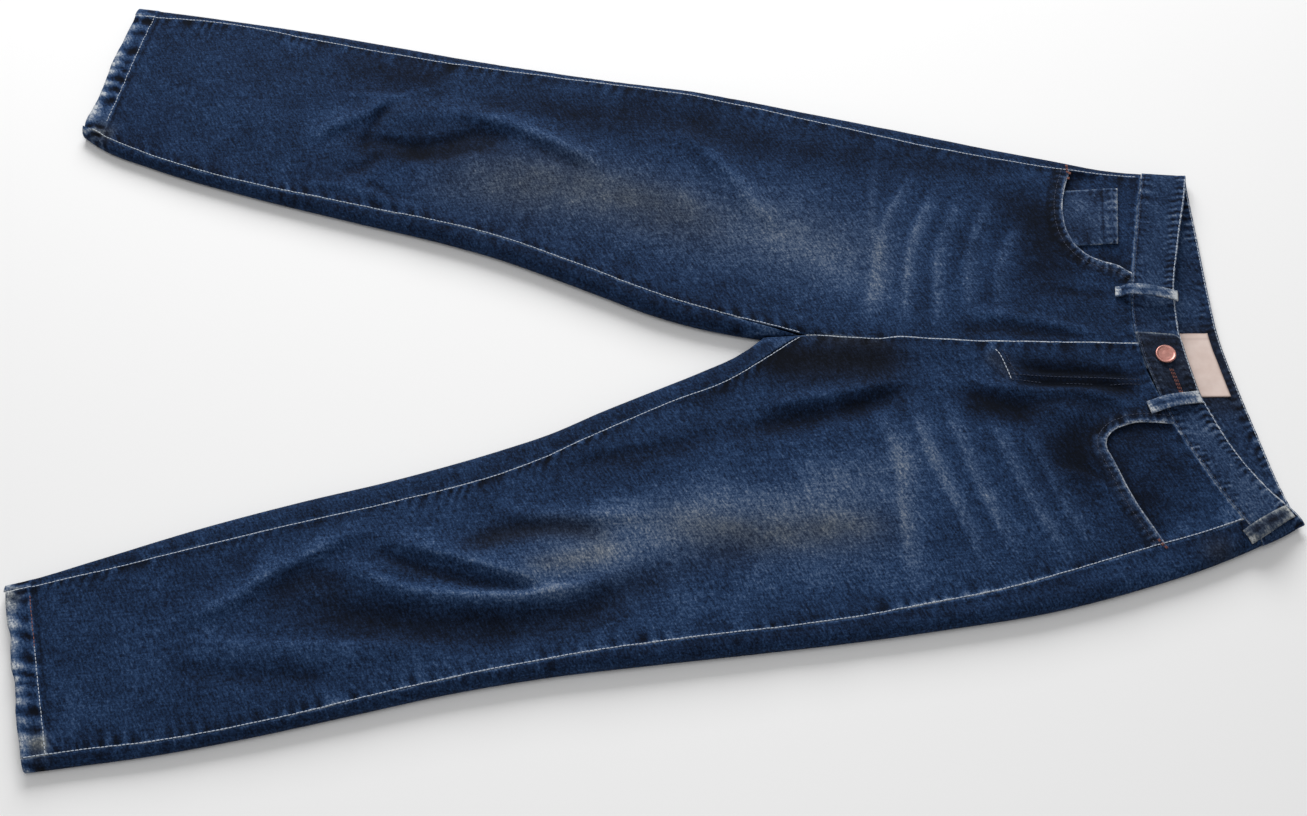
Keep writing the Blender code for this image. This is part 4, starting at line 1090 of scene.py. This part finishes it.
class JEANS_OT_backs(bpy.types.Operator):
    """Make the right and left back and the yokes"""
    bl_idname = "jeans.backs"
    bl_label = "Backs and yokes"

    def execute(self, context):
        sizes = context.scene.jeans_sizes
        row_step = 1.25 * sizes.row_step / MM
        denim = material_once(worn_indigo_denim_painted_light_shade)
        for half in HALVES:
            yoke_x = crossing(yoke_seam, half.outer, 1)[0][0]
            leg = np.linspace(0, 1, int(BACK_LEG_LENGTH / row_step) + 1)
            seat = np.linspace(0, 1, int(BACK_SEAT_LENGTH / row_step) + 1)[1:]

            def leg_x(y):
                return half.hem(y) + (CROTCH_X - half.hem(y)) * leg

            def seat_x(y):
                return CROTCH_X + (yoke_seam(y) - SEAM_GAP - CROTCH_X) * seat
            closed = round_back(half, leg_x, leg_x, len(leg), True)
            flat = round_back(
                half, lambda y: CROTCH_X + (yoke_x - SEAM_GAP - CROTCH_X) * seat, seat_x,
                len(seat), False)
            rows, columns = len(leg) + len(seat), len(closed)
            table = np.full((rows, columns, 5), np.nan)
            for j, parts in enumerate(closed):
                table[:len(leg), j] = np.stack([np.broadcast_to(p, len(leg)) for p in parts], 1)
            for j, parts in enumerate(flat):
                table[len(leg):, j] = np.stack([np.broadcast_to(p, len(seat)) for p in parts], 1)
            there = ~np.isnan(table[..., 0])
            keep = there[:-1, :-1] & there[1:, :-1] & there[1:, 1:] & there[:-1, 1:]
            table = np.nan_to_num(table)
            self.finish(half, f"back_{half.side}", table, keep, sizes, denim)
            part = np.linspace(0, 1, int(YOKE_LENGTH / row_step) + 1)
            yoke = round_back(
                half,
                lambda y: yoke_x + (front_waist_seam(y) - WAIST_GAP - yoke_x) * part,
                lambda y: yoke_seam(y) + (back_waist_seam(y) - WAIST_GAP - yoke_seam(y)) * part,
                len(part), False)
            table = np.stack([np.stack([np.broadcast_to(p, len(part)) for p in parts], 1)
                              for parts in yoke], axis=1)
            self.finish(half, f"yoke_{half.side}", table, None, sizes, denim)
        return {"FINISHED"}

    def finish(self, half, node, table, keep, sizes, denim):
        """Give a back or yoke its puckers and wear, and make the piece."""
        grid, away, below = table[..., :3], table[..., 3], table[..., 4]
        x, y = grid[..., 0], grid[..., 1]
        hem = x - half.hem(y)
        normals = grid_normals(grid) * (1 if half.sign > 0 else -1)
        on_top = 1 - below
        lift = 0.25 * half.pucker(x, away, 13) * on_top
        if node.startswith("back"):
            lift += hem_form(half, y, np.maximum(hem, 0)) * on_top * half.rise(x, y)
        grid = grid + normals * lift[..., None]
        shade = 0.25 + 0.03 * cloud(x, y, 40, half.seed + 30) + 0.02 * cloud(x, y, 16, half.seed)
        shade += seam_wear(half, x, away, 13, 0.5) * on_top
        if node.startswith("back"):
            shade += hem_wear(half, y, hem)
        seat = along_spine(((230, half.sign * 110), (370, half.sign * 120)), 60, 60, x, y)
        calf = along_spine(((-220, half.sign * 210), (20, half.sign * 170)), 40, 40, x, y)
        shade += below * (0.10 * seat + 0.07 * calf)
        rub_x, rub_y = LEFT_SIDE_RUB
        shade += 0.10 * bump(np.hypot((x - rub_x) / 2, y - rub_y), 24) * on_top
        dirt_x, dirt_y = LEFT_CORNER_DIRT
        soil = (marks_at(x, y)[2] + 0.8 * bump(np.hypot(x - dirt_x, y - dirt_y), 14)) * on_top
        cloth_piece(node, grid, half.sign < 0, sizes.cloth / MM, denim,
                    {"shade": shade, "soil": soil}, keep=keep)


def across_band(y, share):
    """Where a line along the front waistband runs: at its seam for 0, at its free edge for 1."""
    return front_waist_seam(y) + (front_waist_top(y) - front_waist_seam(y)) * share


def band_height(x, y, raised=True):
    """Height of the outer side of the waistband where it lies on top."""
    right, left = BAND_DROOP
    droop = right + (left - right) * smooth_step(-np.asarray(y, float), *BAND_DROOP_Y)
    seam, free = front_waist_seam(y), front_waist_top(y)
    sunk = droop * smooth_step((x - seam) / (free - seam), 0.0, 1.0)
    rise = np.where(np.asarray(y) > MIDDLE_Y, RIGHT.rise(x, y), LEFT.rise(x, y))
    lift = BAND_LIFT * smooth_step(y, *BAND_LIFT_Y) if raised else 0.0
    return seat_top(x, y) + BAND_PROUD - sunk * rise + lift


class JEANS_OT_waistband(bpy.types.Operator):
    """Make the waistband, one strip from end to end"""
    bl_idname = "jeans.waistband"
    bl_label = "Waistband"

    def execute(self, context):
        denim = material_once(worn_indigo_denim_painted_light_shade)
        shares = spaced(BAND_WIDTH, 1.6, 4, 4, 0.8)
        grid = np.stack([self.ring(share) for share in shares])
        lengths = np.cumsum(np.linalg.norm(np.diff(grid[len(shares) // 2], axis=0), axis=1))
        run = np.concatenate([[0], lengths])[None, :]
        low, high = shares[:, None] * BAND_WIDTH, (1 - shares[:, None]) * BAND_WIDTH
        puckers = RIGHT.pucker(run, np.abs(low - 4), 61, 6.5, 6.0) + RIGHT.pucker(
            run, np.abs(high - 4), 62, 6.5, 6.0)
        end = np.minimum(run, run[0, -1] - run)
        grid += grid_normals(grid) * (0.35 * puckers * smooth_step(end, 0, 6))[..., None]
        x, y = grid[..., 0], grid[..., 1]
        shade = (0.32 + 0.07 * cloud(x, y, 22, 71) + 0.50 * puckers
                 + 0.42 * bump(high, 1.3) + 0.24 * bump(low, 1.0) + 0.40 * bump(end, 1.5)
                 - 0.08 * bump(low - 2.5, 1.5))
        # painted light: the band is a little paler on the left where it lies on top, on its drooping slope
        shade += 0.06 * (grid[..., 2] > 8) * (1 - smooth_step(y, -90, -60))
        over = smooth_step(y, -62, -44) * (grid[..., 2] > 12) * (run > run[0, -1] - 80)
        shade -= 0.11 * over * (1 - bump(high, 1.8)) * (1 - bump(end, 2.5))
        beside = (grid[..., 2] < 8) * smooth_step(y, -78, -46) * (1 - smooth_step(y, 10, 34))
        shade -= 0.11 * beside
        soil = np.maximum(0.75 * over, 0.15 + 0.5 * beside)
        cloth_piece("waistband", grid, False, BAND_WALL, denim,
                    {"shade": shade, "soil": soil})
        return {"FINISHED"}

    def ring(self, share):
        """Points of one line along the band: right end, right side, back, left side, left end."""
        def x_top(y):
            return across_band(y, share)

        def x_low(y):
            return back_waist_seam(y) + BAND_WIDTH * share

        def on_top(y, raised):
            x = x_top(y)
            return points_at(x, y, band_height(x, y, raised))

        def below(y):
            return points_at(x_low(y), y, BACK_BAND_Z)

        def edge_of(half):
            return crossing(x_top, half.outer, 1)[1][0] + half.sign * BAND_PROUD

        def round_edge(half, turns):
            edge = edge_of(half)
            inner = np.array([edge - half.sign * EDGE_REACH])
            high = on_top(inner, False)[0, 2]
            y = edge - half.sign * EDGE_REACH * (1 - np.sin(turns))
            mix = smooth_step(turns, 0.4 * np.pi, 0.6 * np.pi)
            x = x_top(y) * (1 - mix) + x_low(y) * mix
            z = BACK_BAND_Z + (high - BACK_BAND_Z) * (0.5 + 0.5 * np.cos(turns))
            return points_at(x, y, z)

        into_corner = max(0.0, share * BAND_WIDTH - (BAND_WIDTH - BAND_CORNER)) / BAND_CORNER
        overlap = BAND_OVERLAP_Y - BAND_CORNER * (1 - np.sqrt(1 - into_corner ** 2))
        right_end, left_end = edge_of(RIGHT) - EDGE_REACH, edge_of(LEFT) + EDGE_REACH
        turns = np.linspace(0, np.pi, 14)[1:-1]
        return np.concatenate([
            on_top(np.linspace(BAND_UNDERLAP_Y, right_end, 90), False),
            round_edge(RIGHT, turns),
            below(np.linspace(right_end, left_end, 110)),
            round_edge(LEFT, turns[::-1]),
            on_top(np.linspace(left_end, overlap, 86), True),
        ])


def moved_out(height, x, y, distance):
    """Points on a surface moved out square to it."""
    step = 0.5
    slope_x = (height(x + step, y) - height(x - step, y)) / (2 * step)
    slope_y = (height(x, y + step) - height(x, y - step)) / (2 * step)
    normal = np.stack([-slope_x, -slope_y, np.ones_like(slope_x)], axis=-1)
    normal /= np.linalg.norm(normal, axis=-1, keepdims=True)
    return points_at(x, y, height(x, y)) + normal * np.asarray(distance)[..., None]


def facing_depth(half, x, y):
    """How far a facing lies below the surface of the front."""
    outseam, _, _, waist = half.front_seams(x, y)
    sunk = FACING_DEPTHS[half.side] * (
        1 - smooth_step(outside_mouth(half.side, x, y), *FACING_RISE))
    return sunk * smooth_step(np.minimum(outseam, waist), 0.5, FACING_LEVEL)


def resampled(points, count):
    """Even steps along straight lines from point to point."""
    lengths = lengths_along(points)
    places = np.linspace(0, lengths[-1], count)
    return np.stack([np.interp(places, lengths, points[:, i]) for i in (0, 1)], axis=1)


class JEANS_OT_front_pockets(bpy.types.Operator):
    """Make the pocket facings and the coin pocket"""
    bl_idname = "jeans.front_pockets"
    bl_label = "Front pockets"

    def execute(self, context):
        denim = material_once(worn_indigo_denim_painted_light_shade)
        for half in HALVES:
            grid = self.facing(half)
            x, y = grid[..., 0], grid[..., 1]
            mouth = outside_mouth(half.side, x, y)
            outseam, _, _, waist = half.front_seams(x, y)
            level, worn = (0.25, 0.0) if half.sign > 0 else (0.20, 1.0)
            # painted shadow: the facing is darker near the mouth, under the edge of the front
            shade = (level + 0.05 * cloud(x, y, 24, half.seed + 80)
                     - 0.12 * bump(mouth - 1, 9) + seam_wear(half, x, outseam, 81, 0.7)
                     + seam_wear(half, y, waist, 82, 0.6, 9.0) + 0.25 * bump(waist - 0.5, 1.4)
                     + worn * (0.16 * bump(outseam - 4, 18) + 0.08 * bump(waist, 18)))
            cloth_piece(f"pocket_facing_{half.side}", grid, half.sign > 0, POCKET_WALL, denim,
                        {"shade": shade, "soil": 0.0})
        self.coin_pocket(denim)
        return {"FINISHED"}

    def facing(self, half):
        side, sign = half.side, half.sign

        def side_y(x):
            return half.outseam(x) - sign * FACING_INSET

        def waist_x(y):
            return front_waist_seam(y) - FACING_INSET
        line, _ = mouth_line(side, FACING_UNDER, 140)
        inside = (sign * (side_y(line[:, 0]) - line[:, 1]) > 0) & (line[:, 0] < waist_x(line[:, 1]))
        columns = 60
        inner = resampled(line[inside], columns)
        corner = waist_x(MOUTH_CORNERS[side][1])
        for _ in range(6):
            corner = waist_x(side_y(corner))
        xs = np.linspace(inner[0][0] + FACING_START, corner, 30)
        ys = np.linspace(side_y(corner), inner[-1][1] + sign * FACING_START, 30)[1:]
        rim = resampled(np.concatenate([np.stack([xs, side_y(xs)], 1),
                                        np.stack([waist_x(ys), ys], 1)]), columns)
        parts = np.linspace(0, 1, 36)[:, None, None]
        plan = inner + (rim - inner) * parts
        x, y = plan[..., 0], plan[..., 1]
        return moved_out(half.top, x, y, -facing_depth(half, x, y))

    def coin_pocket(self, denim):
        x_low, x_high, y_low, y_high = COIN_POCKET
        y, x = np.meshgrid(np.linspace(y_low, y_high, 34), np.linspace(x_low, x_high, 34))
        from_side = np.minimum(y - y_low, y_high - y)
        from_top = x_high - x
        x = x - COIN_POCKET_SLANT * (y_high - y) / (y_high - y_low) * (
            x - x_low) / (x_high - x_low)
        hem = smooth_step(-from_top, -COIN_HEM, -COIN_HEM + 1.5)
        puckers = RIGHT.pucker(y, np.abs(from_top - 5), 91, 7.0, 5.0) + RIGHT.pucker(
            x, np.abs(from_side - 3), 92, 7.0, 4.0)
        proud = 1.8 - facing_depth(RIGHT, x, y) + 0.4 * hem + 0.3 * puckers
        grid = moved_out(RIGHT.top, x, y, proud)
        shade = (0.32 + 0.07 * hem + 0.32 * puckers + 0.28 * bump(from_side, 1.4)
                 + 0.32 * bump(from_top, 1.4) + 0.12 * cloud(x, y, 12, 93)
                 - 0.14 * bump(from_top - COIN_HEM, 1.6))
        cloth_piece("coin_pocket", grid, False, POCKET_WALL, denim,
                    {"shade": shade, "soil": 0.25})


class JEANS_OT_back_pockets(bpy.types.Operator):
    """Make the two back pockets underneath"""
    bl_idname = "jeans.back_pockets"
    bl_label = "Back pockets"

    def execute(self, context):
        denim = material_once(worn_indigo_denim_painted_light_shade)
        for half in HALVES:
            x, y, from_edge = back_pocket_plan(half.side, 48, 44)
            grid = points_at(x, y, UNDER_PATCH_Z)
            shade = (0.30 + 0.05 * cloud(x, y, 20, half.seed + 95) + 0.2 * bump(from_edge, 1.5)
                     + 0.1 * half.pucker(x + y, from_edge, 96, 9.0))
            cloth_piece(f"back_pocket_{half.side}", grid, True, UNDER_PATCH_WALL, denim,
                        {"shade": shade, "soil": 0.0})
        return {"FINISHED"}


def back_pocket_plan(side, rows, columns, inset=0.0):
    """Plan of a back pocket, and the distance from its edge."""
    x_low, x_high, y_low, y_high, turn = BACK_POCKETS[side]
    x_low, y_low, x_high, y_high = x_low + inset, y_low + inset, x_high - inset, y_high - inset
    y, x = np.meshgrid(np.linspace(y_low, y_high, columns), np.linspace(x_low, x_high, rows))
    from_edge = np.minimum(np.minimum(y - y_low, y_high - y), np.minimum(x - x_low, x_high - x))
    middle = 1 - abs(2 * (y - y_low) / (y_high - y_low) - 1)
    x = x - BACK_POCKET_POINT * middle * (x_high - x) / (x_high - x_low)
    angle = np.radians(turn)
    middle_x, middle_y = (x_low + x_high) / 2, (y_low + y_high) / 2
    dx, dy = x - middle_x, y - middle_y
    return (middle_x + dx * np.cos(angle) - dy * np.sin(angle),
            middle_y + dx * np.sin(angle) + dy * np.cos(angle), from_edge)


def loop_bed(x, y):
    """Height of what a belt loop lies on: the front, then the waistband."""
    panel = seat_top(x, y)
    seam = front_waist_seam(y)
    lifted = band_height(x, y, True)
    return panel + (lifted - panel) * smooth_step(x, seam - 9.0, seam - 2.0)


class JEANS_OT_belt_loops(bpy.types.Operator):
    """Make the belt loops"""
    bl_idname = "jeans.belt_loops"
    bl_label = "Belt loops"

    def execute(self, context):
        denim = material_once(worn_indigo_denim_painted_light_shade)
        for name, row in FRONT_LOOPS.items():
            grid, along, across = loop_grid(row, 40, 12)
            ends = np.minimum(along, 1 - along)
            frayed = bump(ends, 0.10) * (0.75 + 0.5 * ripple(across * 9, 8.0))
            brown = 0.8 if name.endswith("side_left") else 0.15
            shade = (0.60 - 0.2 * brown + 0.12 * ripple(along * 9, 5.0)
                     + 0.12 * cloud(grid[..., 0], grid[..., 1], 5, 33)
                     - 0.18 * bump(across, 0.16) + 0.60 * frayed
                     + 0.35 * brown * bump(0.5 - abs(across), 0.16))
            cloth_piece(name, grid, False, LOOP_WALL, denim, {"shade": shade, "soil": brown})
        for name, (y_middle, width) in BACK_LOOPS.items():
            y, x = np.meshgrid(
                np.linspace(y_middle - width / 2, y_middle + width / 2, 8),
                np.linspace(back_waist_seam(y_middle) - LOOP_OVERHANG,
                            back_waist_top(y_middle), 24))
            grid = points_at(x, y, UNDER_PATCH_Z)
            cloth_piece(name, grid, True, UNDER_PATCH_WALL, denim, {"shade": 0.4, "soil": 0.1})
        return {"FINISHED"}


def loop_grid(row, steps, columns, proud=2.1):
    """A belt loop that bows over the waistband: points, share along and share across."""
    x_start, y_start, x_end, y_end, width, bow = row
    start, end = np.array((x_start, y_start)), np.array((x_end, y_end))
    direction = (end - start) / np.hypot(*(end - start))
    side = np.array((-direction[1], direction[0]))
    across, along = np.meshgrid(np.linspace(-0.5, 0.5, columns), np.linspace(0, 1, steps))
    plan = start + (end - start) * along[..., None] + side * (width * across)[..., None]
    arch = proud + bow * np.sin(np.pi * along) ** 0.7 + 0.35 * (1 - (2 * across) ** 2)
    return moved_out(loop_bed, plan[..., 0], plan[..., 1], arch), along, across


class JEANS_OT_label(bpy.types.Operator):
    """Make the bare label inside the back of the waistband"""
    bl_idname = "jeans.label"
    bl_label = "Waist label"

    def execute(self, context):
        near, far = LABEL_FROM_EDGE
        share, y = np.meshgrid(np.linspace(0, 1, 26), np.linspace(*LABEL_Y, 50), indexing="ij")
        y = y + 0.6 * ripple(share * 2.2, 3.0)
        x = back_waist_top(y) - far + (far - near) * share
        edge = np.minimum(np.minimum(share, 1 - share) * (far - near),
                          np.minimum(y - LABEL_Y[0], LABEL_Y[1] - y))
        height = BACK_BAND_Z + BAND_WALL + 1.0 + 0.5 * cloud(x, y, 14, 6) + 0.5 * bump(
            share - 1, 0.08)
        # darker at the edges with dirt, and along its fold with painted shade
        shade = 1.0 - 0.7 * bump(edge, 1.0) - 0.3 * bump(y - LABEL_Y[1] + 6, 0.7)
        cloth_piece("waist_label", points_at(x, y, height), False, LABEL_WALL,
                    material_once(woven_label_cotton), {"shade": shade})
        return {"FINISHED"}


def turned(profile, steps):
    """Points and faces of a profile that starts and ends on the Z axis and turns round it."""
    turns = 2 * np.pi * np.arange(steps) / steps
    points = [(r * np.cos(t), r * np.sin(t), z) for r, z in profile[1:-1] for t in turns]
    low, high = len(points), len(points) + 1
    points += [(0.0, 0.0, profile[0][1]), (0.0, 0.0, profile[-1][1])]
    faces = []
    for j in range(steps):
        after = (j + 1) % steps
        faces.append((low, after, j))
        faces += [(i + j, i + after, i + steps + after, i + steps + j)
                  for i in range(0, low - steps, steps)]
        faces.append((low - steps + j, low - steps + after, high))
    return np.array(points), faces


class JEANS_OT_button(bpy.types.Operator):
    """Make the tack button"""
    bl_idname = "jeans.button"
    bl_label = "Tack button"
    segments: IntProperty(name="Segments", description="Steps round the button", default=56)

    def execute(self, context):
        base = float(band_height(np.array([BUTTON_X]), np.array([BUTTON_Y]))[0])
        place = np.array((BUTTON_X, BUTTON_Y, base + BUTTON_CLEARANCE))
        points, faces = turned(BUTTON_PROFILE, self.segments)
        mesh = bpy.data.meshes.new("tack_button")
        mesh.from_pydata(((points + place - MIDDLE) * MM).tolist(), [], faces)
        mesh.shade_smooth()
        mesh.materials.append(material_once(brushed_copper_button))
        piece = placed("tack_button", mesh)
        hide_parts("waist_button")
        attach(piece, "root")
        return {"FINISHED"}


# Sewing

def stitch_tree():
    """Nodes that lay one stitch after another along the edges of a mesh."""
    tree = bpy.data.node_groups.new("stitches_along_seam", "GeometryNodeTree")
    face = tree.interface
    face.new_socket("Seam lines", in_out="INPUT", socket_type="NodeSocketGeometry")
    for name, value in (("Pitch", 0.0033), ("Length", 0.0026), ("Thickness", 0.0007)):
        socket = face.new_socket(name, in_out="INPUT", socket_type="NodeSocketFloat")
        socket.default_value = value
    face.new_socket("Thread", in_out="INPUT", socket_type="NodeSocketMaterial")
    face.new_socket("Stitches", in_out="OUTPUT", socket_type="NodeSocketGeometry")
    given = add(tree, "NodeGroupInput").outputs
    curve = add(tree, "GeometryNodeMeshToCurve", {"Mesh": given["Seam lines"]})
    points = add(tree, "GeometryNodeCurveToPoints", {
        "Curve": curve.outputs["Curve"], "Length": given["Pitch"]}, mode="LENGTH")
    half_thread, half_stitch = (add(tree, "ShaderNodeMath", {
        0: given[name], 1: 0.5}, operation="MULTIPLY").outputs[0]
        for name in ("Thickness", "Length"))
    ball = add(tree, "GeometryNodeMeshUVSphere", {"Segments": 6, "Rings": 4, "Radius": 1.0})
    size = add(tree, "ShaderNodeCombineXYZ", {
        "X": half_thread, "Y": half_thread, "Z": half_stitch})
    stitch = add(tree, "GeometryNodeTransform", {
        "Geometry": ball.outputs["Mesh"], "Scale": size.outputs[0]})
    laid = add(tree, "GeometryNodeInstanceOnPoints", {
        "Points": points.outputs["Points"], "Instance": stitch.outputs[0],
        "Rotation": points.outputs["Rotation"]})
    real = add(tree, "GeometryNodeRealizeInstances", {"Geometry": laid.outputs[0]})
    sewn = add(tree, "GeometryNodeSetMaterial", {
        "Geometry": real.outputs[0], "Material": given["Thread"]})
    add(tree, "NodeGroupOutput", {"Stitches": sewn.outputs[0]})
    return tree


def sew(name, lines, thread, sizes, length=0.8, thickness=1.0):
    """Stitches along lines of points in millimetres, as one plain mesh."""
    points, edges = [], []
    for line in lines:
        line = (np.asarray(line) - MIDDLE) * MM
        edges += [(len(points) + i, len(points) + i + 1) for i in range(len(line) - 1)]
        points += line.tolist()
    mesh = bpy.data.meshes.new(f"{name}_lines")
    mesh.from_pydata(points, edges, [])
    guide = placed(f"{name}_lines", mesh)
    tree = bpy.data.node_groups.get("stitches_along_seam") or stitch_tree()
    modifier = guide.modifiers.new("stitches", "NODES")
    modifier.node_group = tree
    values = {"Pitch": sizes.stitch_pitch, "Length": sizes.stitch_pitch * length,
              "Thickness": sizes.thread * thickness, "Thread": thread}
    for socket in tree.interface.items_tree:
        if socket.item_type == "SOCKET" and socket.name in values:
            modifier[socket.identifier] = values[socket.name]
    ready = guide.evaluated_get(bpy.context.evaluated_depsgraph_get())
    sewn = bpy.data.meshes.new_from_object(ready)
    sewn.name = name
    piece = placed(name, sewn)
    sewn.shade_smooth()
    bpy.data.objects.remove(guide)
    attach(piece, "root")
    return piece


def on_front(half, x, y, proud=STITCH_PROUD):
    """A line of points just over a front."""
    return points_at(x, y, half.front(x, y) + proud)


def pale_thread():
    return material_once(sewing_thread, name="cream_topstitch_thread", code="#a9b8ca",
                         worn="#e4e9f0")


def rust_thread():
    return material_once(sewing_thread, name="rust_topstitch_thread", code="#5a2f2c",
                         worn="#9a6a5c")


def blue_thread():
    return material_once(sewing_thread, name="blue_topstitch_thread", code="#20283b",
                         worn="#545c72")


class JEANS_OT_seam_sewing(bpy.types.Operator):
    """Sew the side seams, inseams, hems and fly"""
    bl_idname = "jeans.seam_sewing"
    bl_label = "Seam, hem and fly stitches"

    def execute(self, context):
        sizes = context.scene.jeans_sizes
        seams, hems, fly, rust = [], [], [], []
        for half in HALVES:
            x = np.arange(*SIDE_SEWN_X[half.side], STITCH_LINE_STEP)
            x = x[x < front_waist_seam(half.outseam(x)) - 3]
            seams.append(on_front(half, x, half.outseam(x) - half.sign * SEAM_STITCH_INSET))
            x = np.arange(INSEAM_SEWN_FROM, CROSS_X - 2, STITCH_LINE_STEP)
            seams.append(on_front(half, x, half.inseam(x) + half.sign * SEAM_STITCH_INSET))
            start, end = half.hem_ys
            y = np.linspace(start - half.sign * 14, end + half.sign * 12, 90)
            hems.append(on_front(half, half.hem(y) + HEM_DEPTH - 1.5, y, 0.3))
        x = np.arange(CROSS_X + 4, FLY_SEWN_TO, STITCH_LINE_STEP)
        seams.append(on_front(LEFT, x, LEFT.inner_seam(x) - 1.0))
        t = np.linspace(0, 1, 14)
        for beside in (0.0, 5.0):
            turn = on_front(LEFT, 293 + beside + 10 * t ** 0.7, -12 - 26 * t)
            (fly if beside else seams).append(turn)
            x = np.linspace(FLY_TURN_X, FLY_SEWN_TO, 50)
            fly.append(on_front(LEFT, x, FLY_TURN_Y - 0.04 * (x - FLY_TURN_X) + beside))
        rust.append(hems[1][60:])
        hems[1] = hems[1][:60]
        for place, run in BARTACKS:
            steps = np.linspace(-0.5, 0.5, 5)[:, None]
            for beside in (-0.9, 0.0, 0.9):
                line = np.array(place) + steps * run + beside * np.array((run[1], -run[0])) / 8
                rust.append(on_front(RIGHT if place[1] > 0 else LEFT, line[:, 0], line[:, 1], 0.4))
        sew("side_and_inseam_stitches", seams, pale_thread(), sizes, 0.97, 1.1)
        sew("hem_and_fly_stitches", hems, pale_thread(), sizes, 0.85, 0.9)
        sew("fly_stitches", fly, blue_thread(), sizes, 0.85, 0.8)
        sew("bartacks", rust, rust_thread(), sizes, 0.95, 1.1)
        return {"FINISHED"}


class JEANS_OT_waist_sewing(bpy.types.Operator):
    """Sew the waistband, the buttonhole and the pocket mouths"""
    bl_idname = "jeans.waist_sewing"
    bl_label = "Waist and pocket stitches"

    def execute(self, context):
        sizes = context.scene.jeans_sizes
        rows = {1.6: [], BAND_WIDTH - 1.2: []}
        for inset, band in rows.items():
            left = np.linspace(-184 if inset < BAND_WIDTH / 2 else -166, 2, 150)
            right = np.linspace(8, 176, 130)
            for y, raised in ((left, True), (right, False)):
                x = across_band(y, inset / BAND_WIDTH)
                band.append(points_at(x, y, band_height(x, y, raised) + STITCH_PROUD))
            y = np.linspace(-160, 172, 220)
            band.append(points_at(back_waist_seam(y) + inset, y, BACK_BAND_Z + BAND_WALL + 0.2))
        mouths = []
        for half in HALVES:
            for beyond in (1.5, 7.5):
                line, _ = mouth_line(half.side, beyond, 120)
                x, y = line[:, 0], line[:, 1]
                inside = (half.sign * (half.outseam(x) - y) > 1.5) & (x < front_waist_seam(y) - 2)
                mouths.append(on_front(half, x[inside], y[inside]))
        low, high = rows.values()
        sew("waistband_low_stitches", low, blue_thread(), sizes, 0.9, 0.85)
        sew("waistband_high_stitches", high, pale_thread(), sizes, 0.95, 0.85)
        x, y = np.linspace(441, 447, 9), np.linspace(-31, -51, 9)
        slit = [points_at(x + beside, y, band_height(x + beside, y) + 0.3)
                for beside in (-1.4, 0.0, 1.4)]
        sew("buttonhole_stitches", slit, rust_thread(), sizes, 0.95, 1.2)
        sew("pocket_mouth_stitches", mouths, blue_thread(), sizes, 0.8, 0.9)
        return {"FINISHED"}


class JEANS_OT_back_sewing(bpy.types.Operator):
    """Sew the yokes and the back pockets underneath"""
    bl_idname = "jeans.back_sewing"
    bl_label = "Back stitches"

    def execute(self, context):
        sizes = context.scene.jeans_sizes
        lines = []
        for half in HALVES:
            for beside in (2.0, 7.0):
                y = np.linspace(MIDDLE_Y + half.sign * 2, half.sign * 168, 110)
                lines.append(points_at(yoke_seam(y) + beside, y, SEAT_RAISE - 0.2))
            for inset in (2.0, 7.0):
                x, y, _ = back_pocket_plan(half.side, 30, 31, inset)
                rim = [(x[:, 0][::-1], y[:, 0][::-1]), (x[0], y[0]), (x[:, -1], y[:, -1])]
                lines += [points_at(along, across, 0.1) for along, across in rim]
        sew("back_stitches", lines, pale_thread(), sizes, 0.75, 0.5)
        return {"FINISHED"}


class JEANS_PT_panel(bpy.types.Panel):
    bl_idname = "JEANS_PT_panel"
    bl_label = "Laid denim jeans"
    bl_space_type = "VIEW_3D"
    bl_region_type = "UI"
    bl_category = "Jeans"

    def draw(self, context):
        layout = self.layout
        for settings in (context.scene.jeans_sizes, context.scene.jeans_stage):
            box = layout.box()
            for name in settings.__annotations__:
                box.prop(settings, name)
        for operator in OPERATORS:
            layout.operator(operator.bl_idname)


OPERATORS = (
    JEANS_OT_stage, JEANS_OT_fronts, JEANS_OT_backs, JEANS_OT_waistband, JEANS_OT_front_pockets,
    JEANS_OT_back_pockets, JEANS_OT_belt_loops, JEANS_OT_label, JEANS_OT_button,
    JEANS_OT_seam_sewing, JEANS_OT_waist_sewing, JEANS_OT_back_sewing,
)
CLASSES = (JeansSizes, JeansStage, *OPERATORS, JEANS_PT_panel)


def register():
    for cls in CLASSES:
        bpy.utils.register_class(cls)
    bpy.types.Scene.jeans_sizes = PointerProperty(type=JeansSizes)
    bpy.types.Scene.jeans_stage = PointerProperty(type=JeansStage)


def unregister():
    del bpy.types.Scene.jeans_stage
    del bpy.types.Scene.jeans_sizes
    for cls in reversed(CLASSES):
        bpy.utils.unregister_class(cls)


def main():
    register()
    bpy.ops.jeans.stage()
    bpy.ops.jeans.fronts()
    bpy.ops.jeans.backs()
    bpy.ops.jeans.waistband()
    bpy.ops.jeans.front_pockets()
    bpy.ops.jeans.back_pockets()
    bpy.ops.jeans.belt_loops()
    bpy.ops.jeans.label()
    bpy.ops.jeans.button()
    bpy.ops.jeans.seam_sewing()
    bpy.ops.jeans.waist_sewing()
    bpy.ops.jeans.back_sewing()


if __name__ == "__main__":
    main()
